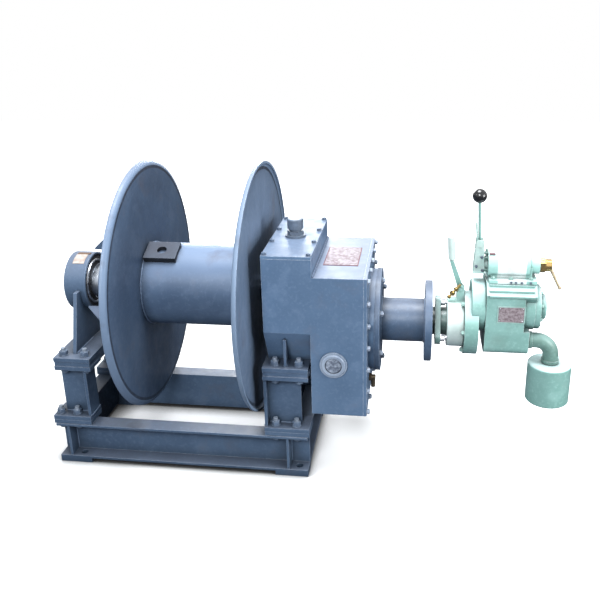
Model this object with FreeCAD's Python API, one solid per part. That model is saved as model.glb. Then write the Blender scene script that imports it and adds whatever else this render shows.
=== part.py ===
import FreeCAD, Part
import math
import os

os.makedirs("parts", exist_ok=True)
V = FreeCAD.Vector

# All sizes in mm. X runs along the drum from the bearing to the motor,
# Y runs from the front frame beam to the rear one, Z is up.
# The origin is the centre of the four deck bolt holes, on the deck.

# Base frame
HOLE_PITCH_X = 926.0
HOLE_INSET = 31.7
HOLE_D = 30.0
FRAME_LEFT_OVER = 93.5
FRAME_RIGHT_OVER = 39.5
FRAME_DEPTH = 537.4
PAD_T = 20.0
PAD_LEN = 135.0
CH_H = 161.6
CH_FLANGE = 70.0
CH_WEB_T = 8.0
CH_FLANGE_T = 10.5
STIFF_T = 10.0
STIFF_LEFT_X = -507.0
STIFF_RIGHT_X = 421.0

# Posts between the frame and the machine
PLATE_T = 18.2
POST_DEPTH = 105.0
POST_SETBACK = 4.0
POST_WEB_T = 10.0
POST_FLANGE_T = 12.0
POST_INNER_W = 82.0
POST_WEB_SHORT_LEFT = 2.0
POST_WEB_SHORT_RIGHT = 35.0
POST_H = 212.3
LEFT_BASE_X0 = -563.5
LEFT_BASE_X1 = -403.0
LEFT_TOP_X0 = -528.5
LEFT_TOP_X1 = -376.0
RIGHT_X0 = 329.7
RIGHT_X1 = 510.2

# Drum
DRUM_Z = 723.0
DRUM_X0 = -169.0
DRUM_X1 = 281.5
BARREL_R = 169.0
BARREL_WALL = 12.0
FLANGE_R = 509.0
FLANGE_T = 10.0
LIP = 21.0
LIP_R = 20.0
SHAFT_R = 60.0
SHAFT_FIT = 0.3
COLLAR_R = 74.0
HUB_X0 = -372.0
HUB_R = 84.0
HUB_RING_R = 112.0
HUB_RING_T = 16.0
GUSSET_N = 3
GUSSET_T = 12.0
GUSSET_FLANGE_R = 362.0
GUSSET_NOSE_R = 147.0
GUSSET_NOSE_T = 7.0

# Ladder clamp on the barrel
CLAMP_X0 = -165.0
CLAMP_W = 131.0
CLAMP_LEN = 96.0
CLAMP_T = 18.0
CLAMP_ANGLE = 24.0

# Bearing and its pedestal
BRG_X0 = -517.0
BRG_X1 = -424.0
BRG_R = 122.0
BRG_FACE_R = 112.0
BRG_RECESS = 14.0
SEAL_T = 9.0
PED_PLATE_X = -455.0
PED_PLATE_T = 15.0
PED_HALF_W = 222.0
PED_SHOULDER_R = 152.0
PED_LIP_T = 12.0
PED_LIP_H = 30.0

# Gearbox
GB_X0 = 340.5
GB_STEP_X = 530.0
GB_X1 = 723.5
GB_HALF_Y = 251.0
GB_TOP = 928.5
GB_LOW_TOP = 847.5
GB_KNEE_Z = 630.0
GB_FOOT_HALF = 178.0
GB_BOTTOM = 286.0
GB_WALL = 9.0
GB_RIB_T = 10.0
GB_RIB_DROP = 30.0
GB_RIB_INSET = 2.0
COVER_T = 12.0
END_COVER_T = 13.0
OUT_BOSS_FLANGE_R = 185.0
OUT_BOSS_FLANGE_T = 9.0
RUN_CLEAR = 8.0
SHAFT_IN_GEARBOX = 40.0

# Input side
IN_Z = 595.0
IN_BOSS_R = 205.0
IN_BOSS_T = 24.0
IN_BOSS_BORE = 150.0
IN_FLANGE_R = 208.0
IN_FLANGE_T = 19.0
TUBE_R = 87.5
TUBE_WALL = 8.0
TUBE_X1 = 953.0
DISC_R = 163.0
DISC_T = 28.0

# Coupling and clutch housing
COUPLING_GAP = 12.0
COUPLING_T = 22.0
COUPLING_BOLT_R = 82.0
COUPLING_LOBE_R = 27.0
NECK_R = 56.0
NECK_WALL = 12.0
NECK_X1 = 1040.0
BRAKE_R = 99.0
BRAKE_X1 = 1106.0
BRAKE_BORE = 40.0

# Motor
MFLANGE_T = 53.0
MFLANGE_R = 127.0
MFLANGE_BORE = 60.0
MOTOR_Z = 673.0
FRONT_R = 105.0
FRONT_X0 = 1131.0
FRONT_X1 = 1184.0
BOX_X1 = 1330.0
BODY_X1 = 1372.0
BODY_ROUND_R = 92.0
BODY_NECK_HALF = 80.0
BODY_NECK_Z = 720.0
BODY_EAVE_Z = 742.0
BODY_HALF_Y = 104.0
BODY_WAIST_Y = 96.0
BODY_TOP = 790.0
BODY_SHOULDER_Z = 752.0
BODY_SUMP_Z = 604.0
BODY_BOTTOM = 500.0
BODY_CORNER = 34.0
BODY_WALL = 14.0
SUMP_X1 = 1354.0
TOPPLATE_T = 14.0
TOPPLATE_HALF_Y = 72.0
RIB_N = 3
RIB_DROP = 6.0
RIB_PITCH = 17.0
RIB_H = 8.0
RIB_OUT = 6.0
END_R = 88.0
END_T = 22.0
HUBCAP_R = 50.0
HUBCAP_T = 26.0

# Valve chest
VALVE_R = 52.0
VALVE_X0 = 1188.0
VALVE_X1 = 1345.0
VALVE_Z = 846.0
VALVE_WALL = 15.0
VALVE_NECK_R = 35.0
VALVE_NECK_X1 = 1384.0
SADDLE_HALF_Y = 40.0

# Control lever
LEVER_BOX_X0 = 1133.0
LEVER_BOX_W = 44.0
LEVER_TOP_W = 28.0
LEVER_BOX_HALF_Y = 24.0
LEVER_BOX_Z0 = 812.0
LEVER_BOX_Z1 = 946.0
LEVER_SLOT_HALF = 12.5
LEVER_SIDE_GAP = 5.0
LEVER_FLOOR_GAP = 7.0
LEVER_LINK_R = 20.0
LEVER_PIVOT_Z = 920.0
LEVER_PIN_R = 4.0
LEVER_HUB_R = 9.0
LEVER_ROD_R = 5.5
LEVER_LEAN = -3.0
PIN_FIT = 0.3
KNOB_R = 27.0
KNOB_Z = 1117.0
KNOB_BORE_L = 8.0

# Brake lever
BRK_PIVOT_X = 1090.0
BRK_PIVOT_Z = 741.0
BRK_KNEE_X = 1052.0
BRK_KNEE_Z = 850.0
BRK_TOP_X = 1045.0
BRK_TOP_Z = 954.0
BRK_ARM_T = 16.0
BRK_ARM_W0 = 22.0
BRK_ARM_W1 = 15.0
BRK_HUB_R = 15.0
BRK_GRIP_R = 13.5
BRK_GRIP_ROUND = 5.0
BRK_GRIP_SINK = 8.0
BRK_CHEEK_GAP = 11.0
BRK_CHEEK_T = 9.0
BRK_CHEEK_HALF = 15.0
BRK_PIN_R = 7.0

# Inlet and exhaust
INLET_R = 27.0
INLET_BORE = 13.0
INLET_L = 46.0
INLET_NUT_L = 22.0
EXH_Y = -62.0
EXH_Z = 556.0
EXH_R = 30.0
EXH_WALL = 5.0
EXH_BEND = 60.0
EXH_NECK_L = 32.0
EXH_COLLAR_T = 12.0
EXH_COLLAR_OUT = 4.0
MUF_R = 84.0
MUF_TOP = 462.0
MUF_H = 164.0
MUF_WALL = 4.0
MUF_ROUND = 8.0

# Small fittings
BREATHER_X = 433.0
BREATHER_BASE_R = 41.0
BREATHER_BASE_T = 8.0
BREATHER_HEX = 58.0
BREATHER_HEX_T = 16.0
BREATHER_NECK_R = 25.0
BREATHER_NECK_T = 10.0
BREATHER_R = 32.0
BREATHER_CAP_T = 40.0
BREATHER_ROUND = 6.0
SIGHT_X = 609.0
SIGHT_Z = 505.0
SIGHT_R = 53.0
SIGHT_GLASS_R = 33.0
SIGHT_BASE_T = 7.0
SIGHT_RING_R = 46.0
SIGHT_BEVEL = 3.0
SIGHT_T = 14.0
SIGHT_SINK = 5.0
DRAIN_Z = 385.0
DRAIN_Y = -110.0
DRAIN_R = 11.0
DRAIN_L = 26.0
DRAIN_HEX = 30.0
DRAIN_DROP = 42.0
CLAMP_HOLE_R = 20.0
CLAMP_BED = 11.0


# Helpers
def box(x0, x1, y0, y1, z0, z1):
    return Part.makeBox(x1 - x0, y1 - y0, z1 - z0, V(x0, y0, z0))


def cyl_x(x0, x1, y, z, r):
    return Part.makeCylinder(r, x1 - x0, V(x0, y, z), V(1, 0, 0))


def cyl_z(x, y, z0, z1, r):
    return Part.makeCylinder(r, z1 - z0, V(x, y, z0), V(0, 0, 1))


def cyl_y(x, y0, y1, z, r):
    return Part.makeCylinder(r, y1 - y0, V(x, y0, z), V(0, 1, 0))


def prism_x(points, x0, x1):
    pts = [V(x0, y, z) for y, z in points]
    face = Part.Face(Part.makePolygon(pts + [pts[0]]))
    return face.extrude(V(x1 - x0, 0, 0))


def prism_y(points, y0, y1):
    pts = [V(x, y0, z) for x, z in points]
    face = Part.Face(Part.makePolygon(pts + [pts[0]]))
    return face.extrude(V(0, y1 - y0, 0))


def fuse(first, *rest):
    out = first.fuse(list(rest))
    return out.removeSplitter()


def mirror_y(shape):
    return shape.mirror(V(0, 0, 0), V(0, 1, 0))


def rod(x0, z0, x1, z1, r, y=0.0):
    d = V(x1 - x0, 0, z1 - z0)
    return Part.makeCylinder(r, d.Length, V(x0, y, z0), d)


def hexagon_x(x0, x1, y, z, across):
    r = across / math.sqrt(3.0)
    pts = []
    for k in range(6):
        a = math.radians(60.0 * k + 30.0)
        pts.append((y + r * math.cos(a), z + r * math.sin(a)))
    return prism_x(pts, x0, x1)


def hexagon_z(x, y, z0, z1, across):
    r = across / math.sqrt(3.0)
    pts = []
    for k in range(6):
        a = math.radians(60.0 * k)
        pts.append(V(x + r * math.cos(a), y + r * math.sin(a), z0))
    return Part.Face(Part.makePolygon(pts + [pts[0]])).extrude(V(0, 0, z1 - z0))


NODES = {}


def keep(name, shape):
    NODES[name] = shape


# Derived heights and ends
FRAME_X0 = -HOLE_PITCH_X / 2.0 - FRAME_LEFT_OVER
FRAME_X1 = HOLE_PITCH_X / 2.0 + FRAME_RIGHT_OVER
Y_OUT = FRAME_DEPTH / 2.0
HOLE_Y = Y_OUT - HOLE_INSET
Y_WEB = Y_OUT - CH_FLANGE
Z_CH = PAD_T + CH_H
Z_POST0 = Z_CH + 2.0 * PLATE_T
Z_POST1 = Z_POST0 + POST_H
Z_FOOT = Z_POST1 + 2.0 * PLATE_T
Z_SEAT = Z_FOOT + PLATE_T
POST_Y0 = Y_OUT - POST_SETBACK - POST_DEPTH
POST_Y1 = Y_OUT - POST_SETBACK


# Long frame channel with its pads, web stiffeners and welded post plates
def long_channel():
    web = box(FRAME_X0, FRAME_X1, Y_WEB, Y_WEB + CH_WEB_T, PAD_T, Z_CH)
    low = box(FRAME_X0, FRAME_X1, Y_WEB, Y_OUT, PAD_T, PAD_T + CH_FLANGE_T)
    top = box(FRAME_X0, FRAME_X1, Y_WEB, Y_OUT, Z_CH - CH_FLANGE_T, Z_CH)
    shapes = [low, top]
    for x in (STIFF_LEFT_X, STIFF_RIGHT_X):
        shapes.append(box(x - STIFF_T / 2, x + STIFF_T / 2, Y_WEB + CH_WEB_T, Y_OUT - 3.0,
                          PAD_T + CH_FLANGE_T, Z_CH - CH_FLANGE_T))
    for x0 in (FRAME_X0, FRAME_X1 - PAD_LEN):
        shapes.append(box(x0, x0 + PAD_LEN, Y_WEB, Y_OUT, 0.0, PAD_T))
    shapes.append(box(LEFT_BASE_X0, LEFT_BASE_X1, POST_Y0, POST_Y1, Z_CH, Z_CH + PLATE_T))
    shapes.append(box(RIGHT_X0, RIGHT_X1, POST_Y0, POST_Y1, Z_CH, Z_CH + PLATE_T))
    out = fuse(web, *shapes)
    for x in (-HOLE_PITCH_X / 2, HOLE_PITCH_X / 2):
        out = out.cut(cyl_z(x, HOLE_Y, -1.0, PAD_T + CH_FLANGE_T + 1.0, HOLE_D / 2))
    return out


# Cross channel, open to the outside
def cross_channel(x_open, x_web):
    y0 = -Y_WEB
    y1 = Y_WEB
    xa = min(x_open, x_web)
    xb = max(x_open, x_web)
    if x_web > x_open:
        web = box(x_web - CH_WEB_T, x_web, y0, y1, PAD_T, Z_CH)
    else:
        web = box(x_web, x_web + CH_WEB_T, y0, y1, PAD_T, Z_CH)
    low = box(xa, xb, y0, y1, PAD_T, PAD_T + CH_FLANGE_T)
    top = box(xa, xb, y0, y1, Z_CH - CH_FLANGE_T, Z_CH)
    return fuse(web, low, top)


# Post: two plates joined by an inner flange and a central web
def post(base_x0, base_x1, top_x0, top_x1, inner_right):
    base = box(base_x0, base_x1, POST_Y0, POST_Y1, Z_CH + PLATE_T, Z_POST0)
    top = box(top_x0, top_x1, POST_Y0, POST_Y1, Z_POST1, Z_FOOT - PLATE_T)
    shim = box(top_x0 + 2.0, top_x1 - 2.0, POST_Y0 + 2.0, POST_Y1 - 2.0, Z_FOOT - PLATE_T, Z_FOOT)
    ym = (POST_Y0 + POST_Y1) / 2.0
    yf = POST_INNER_W / 2.0
    if inner_right:
        xin = min(base_x1, top_x1)
        flange = box(xin - POST_FLANGE_T, xin, ym - yf, ym + yf, Z_POST0, Z_POST1)
        xo = max(base_x0, top_x0) + POST_WEB_SHORT_LEFT
        web = box(xo, xin - POST_FLANGE_T, ym - POST_WEB_T / 2, ym + POST_WEB_T / 2, Z_POST0, Z_POST1)
    else:
        xin = max(base_x0, top_x0)
        flange = box(xin, xin + POST_FLANGE_T, ym - yf, ym + yf, Z_POST0, Z_POST1)
        xo = min(base_x1, top_x1) - POST_WEB_SHORT_RIGHT
        web = box(xin + POST_FLANGE_T, xo, ym - POST_WEB_T / 2, ym + POST_WEB_T / 2, Z_POST0, Z_POST1)
    return fuse(base, flange, web, top, shim)


# Frame nodes
rear = long_channel()
keep("rear_beam", rear)
keep("front_beam", mirror_y(rear))
keep("left_cross_beam", cross_channel(FRAME_X0, FRAME_X0 + CH_FLANGE))
keep("right_cross_beam", cross_channel(FRAME_X1, FRAME_X1 - CH_FLANGE))
left_post = post(LEFT_BASE_X0, LEFT_BASE_X1, LEFT_TOP_X0, LEFT_TOP_X1, True)
right_post = post(RIGHT_X0, RIGHT_X1, RIGHT_X0, RIGHT_X1, False)
keep("post_rear_left", left_post)
keep("post_front_left", mirror_y(left_post))
keep("post_rear_right", right_post)
keep("post_front_right", mirror_y(right_post))


# Bearing pedestal: foot plate with a lip along each long edge, and upright plate
def bearing_pedestal():
    foot = box(LEFT_TOP_X0, LEFT_TOP_X1, -POST_Y1, POST_Y1, Z_FOOT, Z_SEAT)
    xp0 = PED_PLATE_X - PED_PLATE_T / 2
    xp1 = PED_PLATE_X + PED_PLATE_T / 2
    upright = prism_x([(-PED_HALF_W, Z_SEAT), (PED_HALF_W, Z_SEAT),
                       (PED_SHOULDER_R, DRUM_Z), (-PED_SHOULDER_R, DRUM_Z)], xp0, xp1)
    shapes = [upright]
    for x0 in (LEFT_TOP_X0, LEFT_TOP_X1 - PED_LIP_T):
        shapes.append(box(x0, x0 + PED_LIP_T, -POST_Y0 + 0.5, POST_Y0 - 0.5, Z_FOOT - PED_LIP_H, Z_FOOT))
    out = fuse(foot, *shapes)
    return out.cut(cyl_x(BRG_X0 - 1.0, BRG_X1 + 1.0, 0.0, DRUM_Z, BRG_R))


# Bearing housing: hollow cup closed on the outer side
def bearing_housing():
    body = cyl_x(BRG_X0, BRG_X1, 0.0, DRUM_Z, BRG_R)
    edges = [e for e in body.Edges if abs(e.Length - 2 * math.pi * BRG_R) < 1.0]
    body = body.makeChamfer(3.0, edges)
    body = body.cut(cyl_x(BRG_X0 + 12.0, BRG_X1 - BRG_RECESS, 0.0, DRUM_Z, SHAFT_R + SHAFT_FIT))
    body = body.cut(cyl_x(BRG_X1 - BRG_RECESS, BRG_X1 + 1.0, 0.0, DRUM_Z, BRG_FACE_R))
    return body


def bearing_seal():
    x0 = BRG_X1 - BRG_RECESS
    ring = cyl_x(x0, x0 + SEAL_T, 0.0, DRUM_Z, BRG_FACE_R)
    return ring.cut(cyl_x(x0 - 1.0, x0 + SEAL_T + 1.0, 0.0, DRUM_Z, SHAFT_R + SHAFT_FIT))


keep("bearing_pedestal", bearing_pedestal())
keep("bearing_housing", bearing_housing())
keep("bearing_seal", bearing_seal())


# Drum flange: disc with a rim turned outward by a rolled corner
def drum_flange(x_face, outward):
    x1 = x_face + outward * LIP
    r1 = FLANGE_R
    t = FLANGE_T
    c = LIP_R
    s = outward
    pts = [V(x_face, 0, DRUM_Z + SHAFT_R + 22.0), V(x_face, 0, DRUM_Z + r1 - c)]
    line1 = Part.makeLine(pts[0], pts[1])
    mid = V(x_face + s * (c - c * math.cos(math.pi / 4)), 0,
            DRUM_Z + r1 - c + c * math.sin(math.pi / 4))
    arc1 = Part.Arc(pts[1], mid, V(x_face + s * c, 0, DRUM_Z + r1)).toShape()
    line2 = Part.makeLine(V(x_face + s * c, 0, DRUM_Z + r1), V(x1, 0, DRUM_Z + r1))
    line3 = Part.makeLine(V(x1, 0, DRUM_Z + r1), V(x1, 0, DRUM_Z + r1 - t))
    turn = V(x_face + s * c, 0, DRUM_Z + r1 - t)
    root = V(x_face + s * t, 0, DRUM_Z + r1 - c)
    line4 = Part.makeLine(V(x1, 0, DRUM_Z + r1 - t), turn)
    mid = V(x_face + s * (c - (c - t) * math.cos(math.pi / 4)), 0,
            DRUM_Z + r1 - c + (c - t) * math.sin(math.pi / 4))
    arc2 = Part.Arc(turn, mid, root).toShape()
    line5 = Part.makeLine(root, V(x_face + s * t, 0, pts[0].z))
    line6 = Part.makeLine(V(x_face + s * t, 0, pts[0].z), pts[0])
    wire = Part.Wire([line1, arc1, line2, line3, line4, arc2, line5, line6])
    solid = Part.Face(wire).revolve(V(0, 0, DRUM_Z), V(1, 0, 0), 360)
    if solid.Volume < 0:
        solid.reverse()
    return solid


# Flat discs of the two drum flanges
def left_flange():
    disc = drum_flange(DRUM_X0, -1.0)
    plug = cyl_x(DRUM_X0 - FLANGE_T, DRUM_X0, 0.0, DRUM_Z, SHAFT_R + 24.0)
    out = fuse(disc, plug)
    return out.cut(cyl_x(DRUM_X0 - FLANGE_T - 1.0, DRUM_X0 + 1.0, 0.0, DRUM_Z, SHAFT_R))


# Hub tube on the outer side of the left flange; its gussets end in a nose over the shaft collar
def drum_hub():
    xb = DRUM_X0 - FLANGE_T
    xn = BRG_X1 + RUN_CLEAR
    xh = HUB_X0
    tube = cyl_x(xh, xb, 0.0, DRUM_Z, HUB_R)
    ring = cyl_x(xh, xh + HUB_RING_T, 0.0, DRUM_Z, HUB_RING_R)
    shapes = [ring]
    low = HUB_R - 4.0
    under = GUSSET_NOSE_R - GUSSET_NOSE_T
    for k in range(GUSSET_N):
        pts = [V(xb, 0, DRUM_Z + low), V(xb, 0, DRUM_Z + GUSSET_FLANGE_R),
               V(xn, 0, DRUM_Z + GUSSET_NOSE_R), V(xn, 0, DRUM_Z + under),
               V(xh, 0, DRUM_Z + under), V(xh, 0, DRUM_Z + low)]
        face = Part.Face(Part.makePolygon(pts + [pts[0]]))
        g = face.extrude(V(0, GUSSET_T, 0))
        g.translate(V(0, -GUSSET_T / 2, 0))
        g.rotate(V(0, 0, DRUM_Z), V(1, 0, 0), 360.0 * k / GUSSET_N)
        shapes.append(g)
    out = fuse(tube, *shapes)
    return out.cut(cyl_x(xh - 1.0, xb + 1.0, 0.0, DRUM_Z, SHAFT_R))


def right_flange():
    disc = drum_flange(DRUM_X1, 1.0)
    plug = cyl_x(DRUM_X1, DRUM_X1 + FLANGE_T, 0.0, DRUM_Z, SHAFT_R + 24.0)
    out = fuse(disc, plug)
    return out.cut(cyl_x(DRUM_X1 - 1.0, DRUM_X1 + FLANGE_T + 1.0, 0.0, DRUM_Z, SHAFT_R))


def drum_barrel():
    out = cyl_x(DRUM_X0, DRUM_X1, 0.0, DRUM_Z, BARREL_R)
    return out.cut(cyl_x(DRUM_X0, DRUM_X1, 0.0, DRUM_Z, BARREL_R - BARREL_WALL))


def drum_shaft():
    x0 = BRG_X0 + 16.0
    x1 = GB_X0 + GB_WALL + SHAFT_IN_GEARBOX
    shaft = cyl_x(x0, x1, 0.0, DRUM_Z, SHAFT_R)
    return fuse(shaft, cyl_x(BRG_X1 + RUN_CLEAR, HUB_X0, 0.0, DRUM_Z, COLLAR_R))


# Ladder clamp: flat plate bedded on the barrel
def ladder_clamp():
    plate = box(CLAMP_X0, CLAMP_X0 + CLAMP_W, -CLAMP_LEN / 2, CLAMP_LEN / 2,
                DRUM_Z + BARREL_R - CLAMP_BED, DRUM_Z + BARREL_R - 1.0 + CLAMP_T)
    plate = plate.cut(cyl_x(CLAMP_X0 - 1.0, CLAMP_X0 + CLAMP_W + 1.0, 0.0, DRUM_Z, BARREL_R))
    plate = plate.cut(cyl_z(CLAMP_X0 + CLAMP_W / 2, 0.0, DRUM_Z, DRUM_Z + BARREL_R + 2 * CLAMP_T,
                            CLAMP_HOLE_R))
    plate.rotate(V(0, 0, DRUM_Z), V(1, 0, 0), CLAMP_ANGLE)
    return plate


keep("drum_barrel", drum_barrel())
keep("drum_left_flange", left_flange())
keep("drum_hub", drum_hub())
keep("drum_right_flange", right_flange())
keep("drum_shaft", drum_shaft())
keep("ladder_clamp", ladder_clamp())


# Gearbox housing: two hollow sections side by side
def gearbox_profile(inset):
    k = inset * 0.55
    return [(-GB_HALF_Y + inset, GB_TOP), (GB_HALF_Y - inset, GB_TOP),
            (GB_HALF_Y - inset, GB_KNEE_Z + k), (GB_FOOT_HALF - k, Z_SEAT + inset),
            (-GB_FOOT_HALF + k, Z_SEAT + inset), (-GB_HALF_Y + inset, GB_KNEE_Z + k)]


def gearbox_housing():
    w = GB_WALL
    low_top = GB_LOW_TOP + COVER_T
    upper = prism_x(gearbox_profile(0.0), GB_X0, GB_STEP_X)
    lower = box(GB_STEP_X - w, GB_X1, -GB_HALF_Y, GB_HALF_Y, GB_BOTTOM, low_top)
    out = fuse(upper, lower)
    out = out.cut(prism_x(gearbox_profile(w), GB_X0 + w, GB_STEP_X - w))
    out = out.cut(box(GB_STEP_X, GB_X1 + 1.0, -GB_HALF_Y + w, GB_HALF_Y - w,
                      GB_BOTTOM + w, low_top - w))
    return out.cut(cyl_x(GB_X0 - 1.0, GB_X0 + w + 1.0, 0.0, DRUM_Z, SHAFT_R + SHAFT_FIT))


# Foot plate under the gearbox with a rib at each side
def gearbox_foot():
    plate = box(RIGHT_X0, RIGHT_X1, -POST_Y1, POST_Y1, Z_FOOT, Z_SEAT)
    xm = (RIGHT_X0 + RIGHT_X1) / 2.0
    shapes = []
    ztop = GB_KNEE_Z - GB_RIB_DROP
    ytop = GB_FOOT_HALF + (GB_HALF_Y - GB_FOOT_HALF) * (ztop - Z_SEAT) / (GB_KNEE_Z - Z_SEAT)
    yout = GB_HALF_Y - GB_RIB_INSET
    for s in (-1.0, 1.0):
        pts = [(s * yout, Z_SEAT - 1.0), (s * (GB_FOOT_HALF + 0.3), Z_SEAT - 1.0),
               (s * (GB_FOOT_HALF + 0.3), Z_SEAT), (s * (ytop + 0.3), ztop), (s * yout, ztop)]
        shapes.append(prism_x(pts, xm - GB_RIB_T / 2, xm + GB_RIB_T / 2))
    return fuse(plate, *shapes)


def gearbox_top_cover():
    return box(GB_X0, GB_STEP_X, -GB_HALF_Y, GB_HALF_Y, GB_TOP, GB_TOP + COVER_T)


def gearbox_end_cover():
    x1 = GB_X1 + END_COVER_T
    plate = box(GB_X1, x1, -GB_HALF_Y, GB_HALF_Y, GB_BOTTOM, GB_LOW_TOP + COVER_T)
    boss = cyl_x(x1, x1 + IN_BOSS_T, 0.0, IN_Z, IN_BOSS_R)
    out = fuse(plate, boss)
    return out.cut(cyl_x(GB_X1 - 1.0, x1 + IN_BOSS_T + 1.0, 0.0, IN_Z, IN_BOSS_BORE))


IN_X0 = GB_X1 + END_COVER_T + IN_BOSS_T
IN_X1 = IN_X0 + IN_FLANGE_T


def input_flange():
    out = cyl_x(IN_X0, IN_X1, 0.0, IN_Z, IN_FLANGE_R)
    return out.cut(cyl_x(IN_X0 - 1.0, IN_X1 + 1.0, 0.0, IN_Z, TUBE_R - TUBE_WALL))


def adapter_tube():
    out = cyl_x(IN_X1, TUBE_X1, 0.0, IN_Z, TUBE_R)
    return out.cut(cyl_x(IN_X1 - 1.0, TUBE_X1 + 1.0, 0.0, IN_Z, TUBE_R - TUBE_WALL))


def adapter_disc():
    out = cyl_x(TUBE_X1, TUBE_X1 + DISC_T, 0.0, IN_Z, DISC_R)
    return out.cut(cyl_x(TUBE_X1 - 1.0, TUBE_X1 + DISC_T + 1.0, 0.0, IN_Z, NECK_R - NECK_WALL))


# Output boss around the drum shaft
def output_boss():
    x1 = GB_X0
    x0 = x1 - OUT_BOSS_FLANGE_T
    ring = cyl_x(x0, x1, 0.0, DRUM_Z, OUT_BOSS_FLANGE_R)
    return ring.cut(cyl_x(x0 - 1.0, x1 + 1.0, 0.0, DRUM_Z, SHAFT_R + SHAFT_FIT))


keep("gearbox_housing", gearbox_housing())
keep("gearbox_top_cover", gearbox_top_cover())
keep("gearbox_foot", gearbox_foot())
keep("gearbox_end_cover", gearbox_end_cover())
keep("input_flange", input_flange())
keep("adapter_tube", adapter_tube())
keep("adapter_disc", adapter_disc())
keep("output_boss", output_boss())


# Breather, sight glass and drain cock
def breather_cap():
    z0 = GB_TOP + COVER_T
    z1 = z0 + BREATHER_BASE_T
    z2 = z1 + BREATHER_HEX_T
    z3 = z2 + BREATHER_NECK_T
    z4 = z3 + BREATHER_CAP_T
    base = cyl_z(BREATHER_X, 0.0, z0, z1, BREATHER_BASE_R)
    nut = hexagon_z(BREATHER_X, 0.0, z1, z2, BREATHER_HEX)
    neck = cyl_z(BREATHER_X, 0.0, z2, z3, BREATHER_NECK_R)
    cap = cyl_z(BREATHER_X, 0.0, z3, z4, BREATHER_R)
    edges = [e for e in cap.Edges if e.CenterOfMass.z > z4 - 1.0]
    cap = cap.makeFillet(BREATHER_ROUND, edges)
    return fuse(base, nut, neck, cap)


def sight_ring():
    base = cyl_y(SIGHT_X, -GB_HALF_Y - SIGHT_BASE_T, -GB_HALF_Y, SIGHT_Z, SIGHT_R)
    ring = cyl_y(SIGHT_X, -GB_HALF_Y - SIGHT_T, -GB_HALF_Y, SIGHT_Z, SIGHT_RING_R)
    rim = [e for e in ring.Edges if e.CenterOfMass.y < -GB_HALF_Y - SIGHT_T + 1.0]
    ring = fuse(base, ring.makeChamfer(SIGHT_BEVEL, rim))
    return ring.cut(cyl_y(SIGHT_X, -GB_HALF_Y - SIGHT_T - 1.0, -GB_HALF_Y + 1.0, SIGHT_Z, SIGHT_GLASS_R))


def sight_glass():
    return cyl_y(SIGHT_X, -GB_HALF_Y - SIGHT_T + SIGHT_SINK, -GB_HALF_Y, SIGHT_Z, SIGHT_GLASS_R)


def drain_cock():
    x0 = GB_X1 + END_COVER_T
    body = cyl_x(x0, x0 + DRAIN_L, DRAIN_Y, DRAIN_Z, DRAIN_R)
    nut = hexagon_x(x0, x0 + DRAIN_L * 0.4, DRAIN_Y, DRAIN_Z, DRAIN_HEX)
    down = cyl_z(x0 + DRAIN_L * 0.65, DRAIN_Y, DRAIN_Z - DRAIN_DROP, DRAIN_Z, DRAIN_R * 0.8)
    return fuse(body, nut, down)


keep("breather_cap", breather_cap())
keep("sight_ring", sight_ring())
keep("sight_glass", sight_glass())
keep("drain_cock", drain_cock())

# Coupling flange with three lobes, and the neck behind it
DISC_X1 = TUBE_X1 + DISC_T
COUP_X0 = DISC_X1 + COUPLING_GAP
COUP_X1 = COUP_X0 + COUPLING_T


def coupling_flange():
    spigot = cyl_x(DISC_X1, COUP_X0, 0.0, IN_Z, NECK_R)
    pts = []
    lobes = []
    for k in range(3):
        a = math.radians(90.0 + 120.0 * k)
        y = COUPLING_BOLT_R * math.cos(a)
        z = IN_Z + COUPLING_BOLT_R * math.sin(a)
        lobes.append(cyl_x(COUP_X0, COUP_X1, y, z, COUPLING_LOBE_R))
        for b in (a - math.pi / 3.0, a + math.pi / 3.0):
            pts.append((y + COUPLING_LOBE_R * math.cos(b), z + COUPLING_LOBE_R * math.sin(b)))
    plate = prism_x(pts, COUP_X0, COUP_X1)
    neck = cyl_x(COUP_X1, NECK_X1, 0.0, IN_Z, NECK_R)
    out = fuse(plate, spigot, neck, lobes[0], lobes[1], lobes[2])
    return out.cut(cyl_x(DISC_X1 - 1.0, NECK_X1 + 1.0, 0.0, IN_Z, NECK_R - NECK_WALL))


# Clutch housing with the two cheeks and the pin of the brake lever
def brake_housing():
    out = cyl_x(NECK_X1, BRAKE_X1, 0.0, IN_Z, BRAKE_R)
    edges = [e for e in out.Edges if abs(e.Length - 2 * math.pi * BRAKE_R) < 1.0]
    out = out.makeFillet(5.0, edges)
    hy = BRK_CHEEK_GAP + BRK_CHEEK_T
    x0 = BRK_PIVOT_X - BRK_CHEEK_HALF
    x1 = BRK_PIVOT_X + BRK_CHEEK_HALF
    z0 = IN_Z + BRAKE_R - 12.0
    zf = IN_Z + BRAKE_R + 8.0
    shapes = [box(x0, x1, -hy, hy, z0, zf)]
    for s in (-1.0, 1.0):
        y0 = min(s * BRK_CHEEK_GAP, s * hy)
        shapes.append(box(x0, x1, y0, y0 + BRK_CHEEK_T, zf, BRK_PIVOT_Z))
        shapes.append(cyl_y(BRK_PIVOT_X, y0, y0 + BRK_CHEEK_T, BRK_PIVOT_Z, BRK_CHEEK_HALF))
    shapes.append(cyl_y(BRK_PIVOT_X, -hy - 4.0, hy + 4.0, BRK_PIVOT_Z, BRK_PIN_R))
    out = fuse(out, *shapes)
    return out.cut(cyl_x(NECK_X1 - 1.0, BRAKE_X1 + 1.0, 0.0, IN_Z, BRAKE_BORE))


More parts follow.
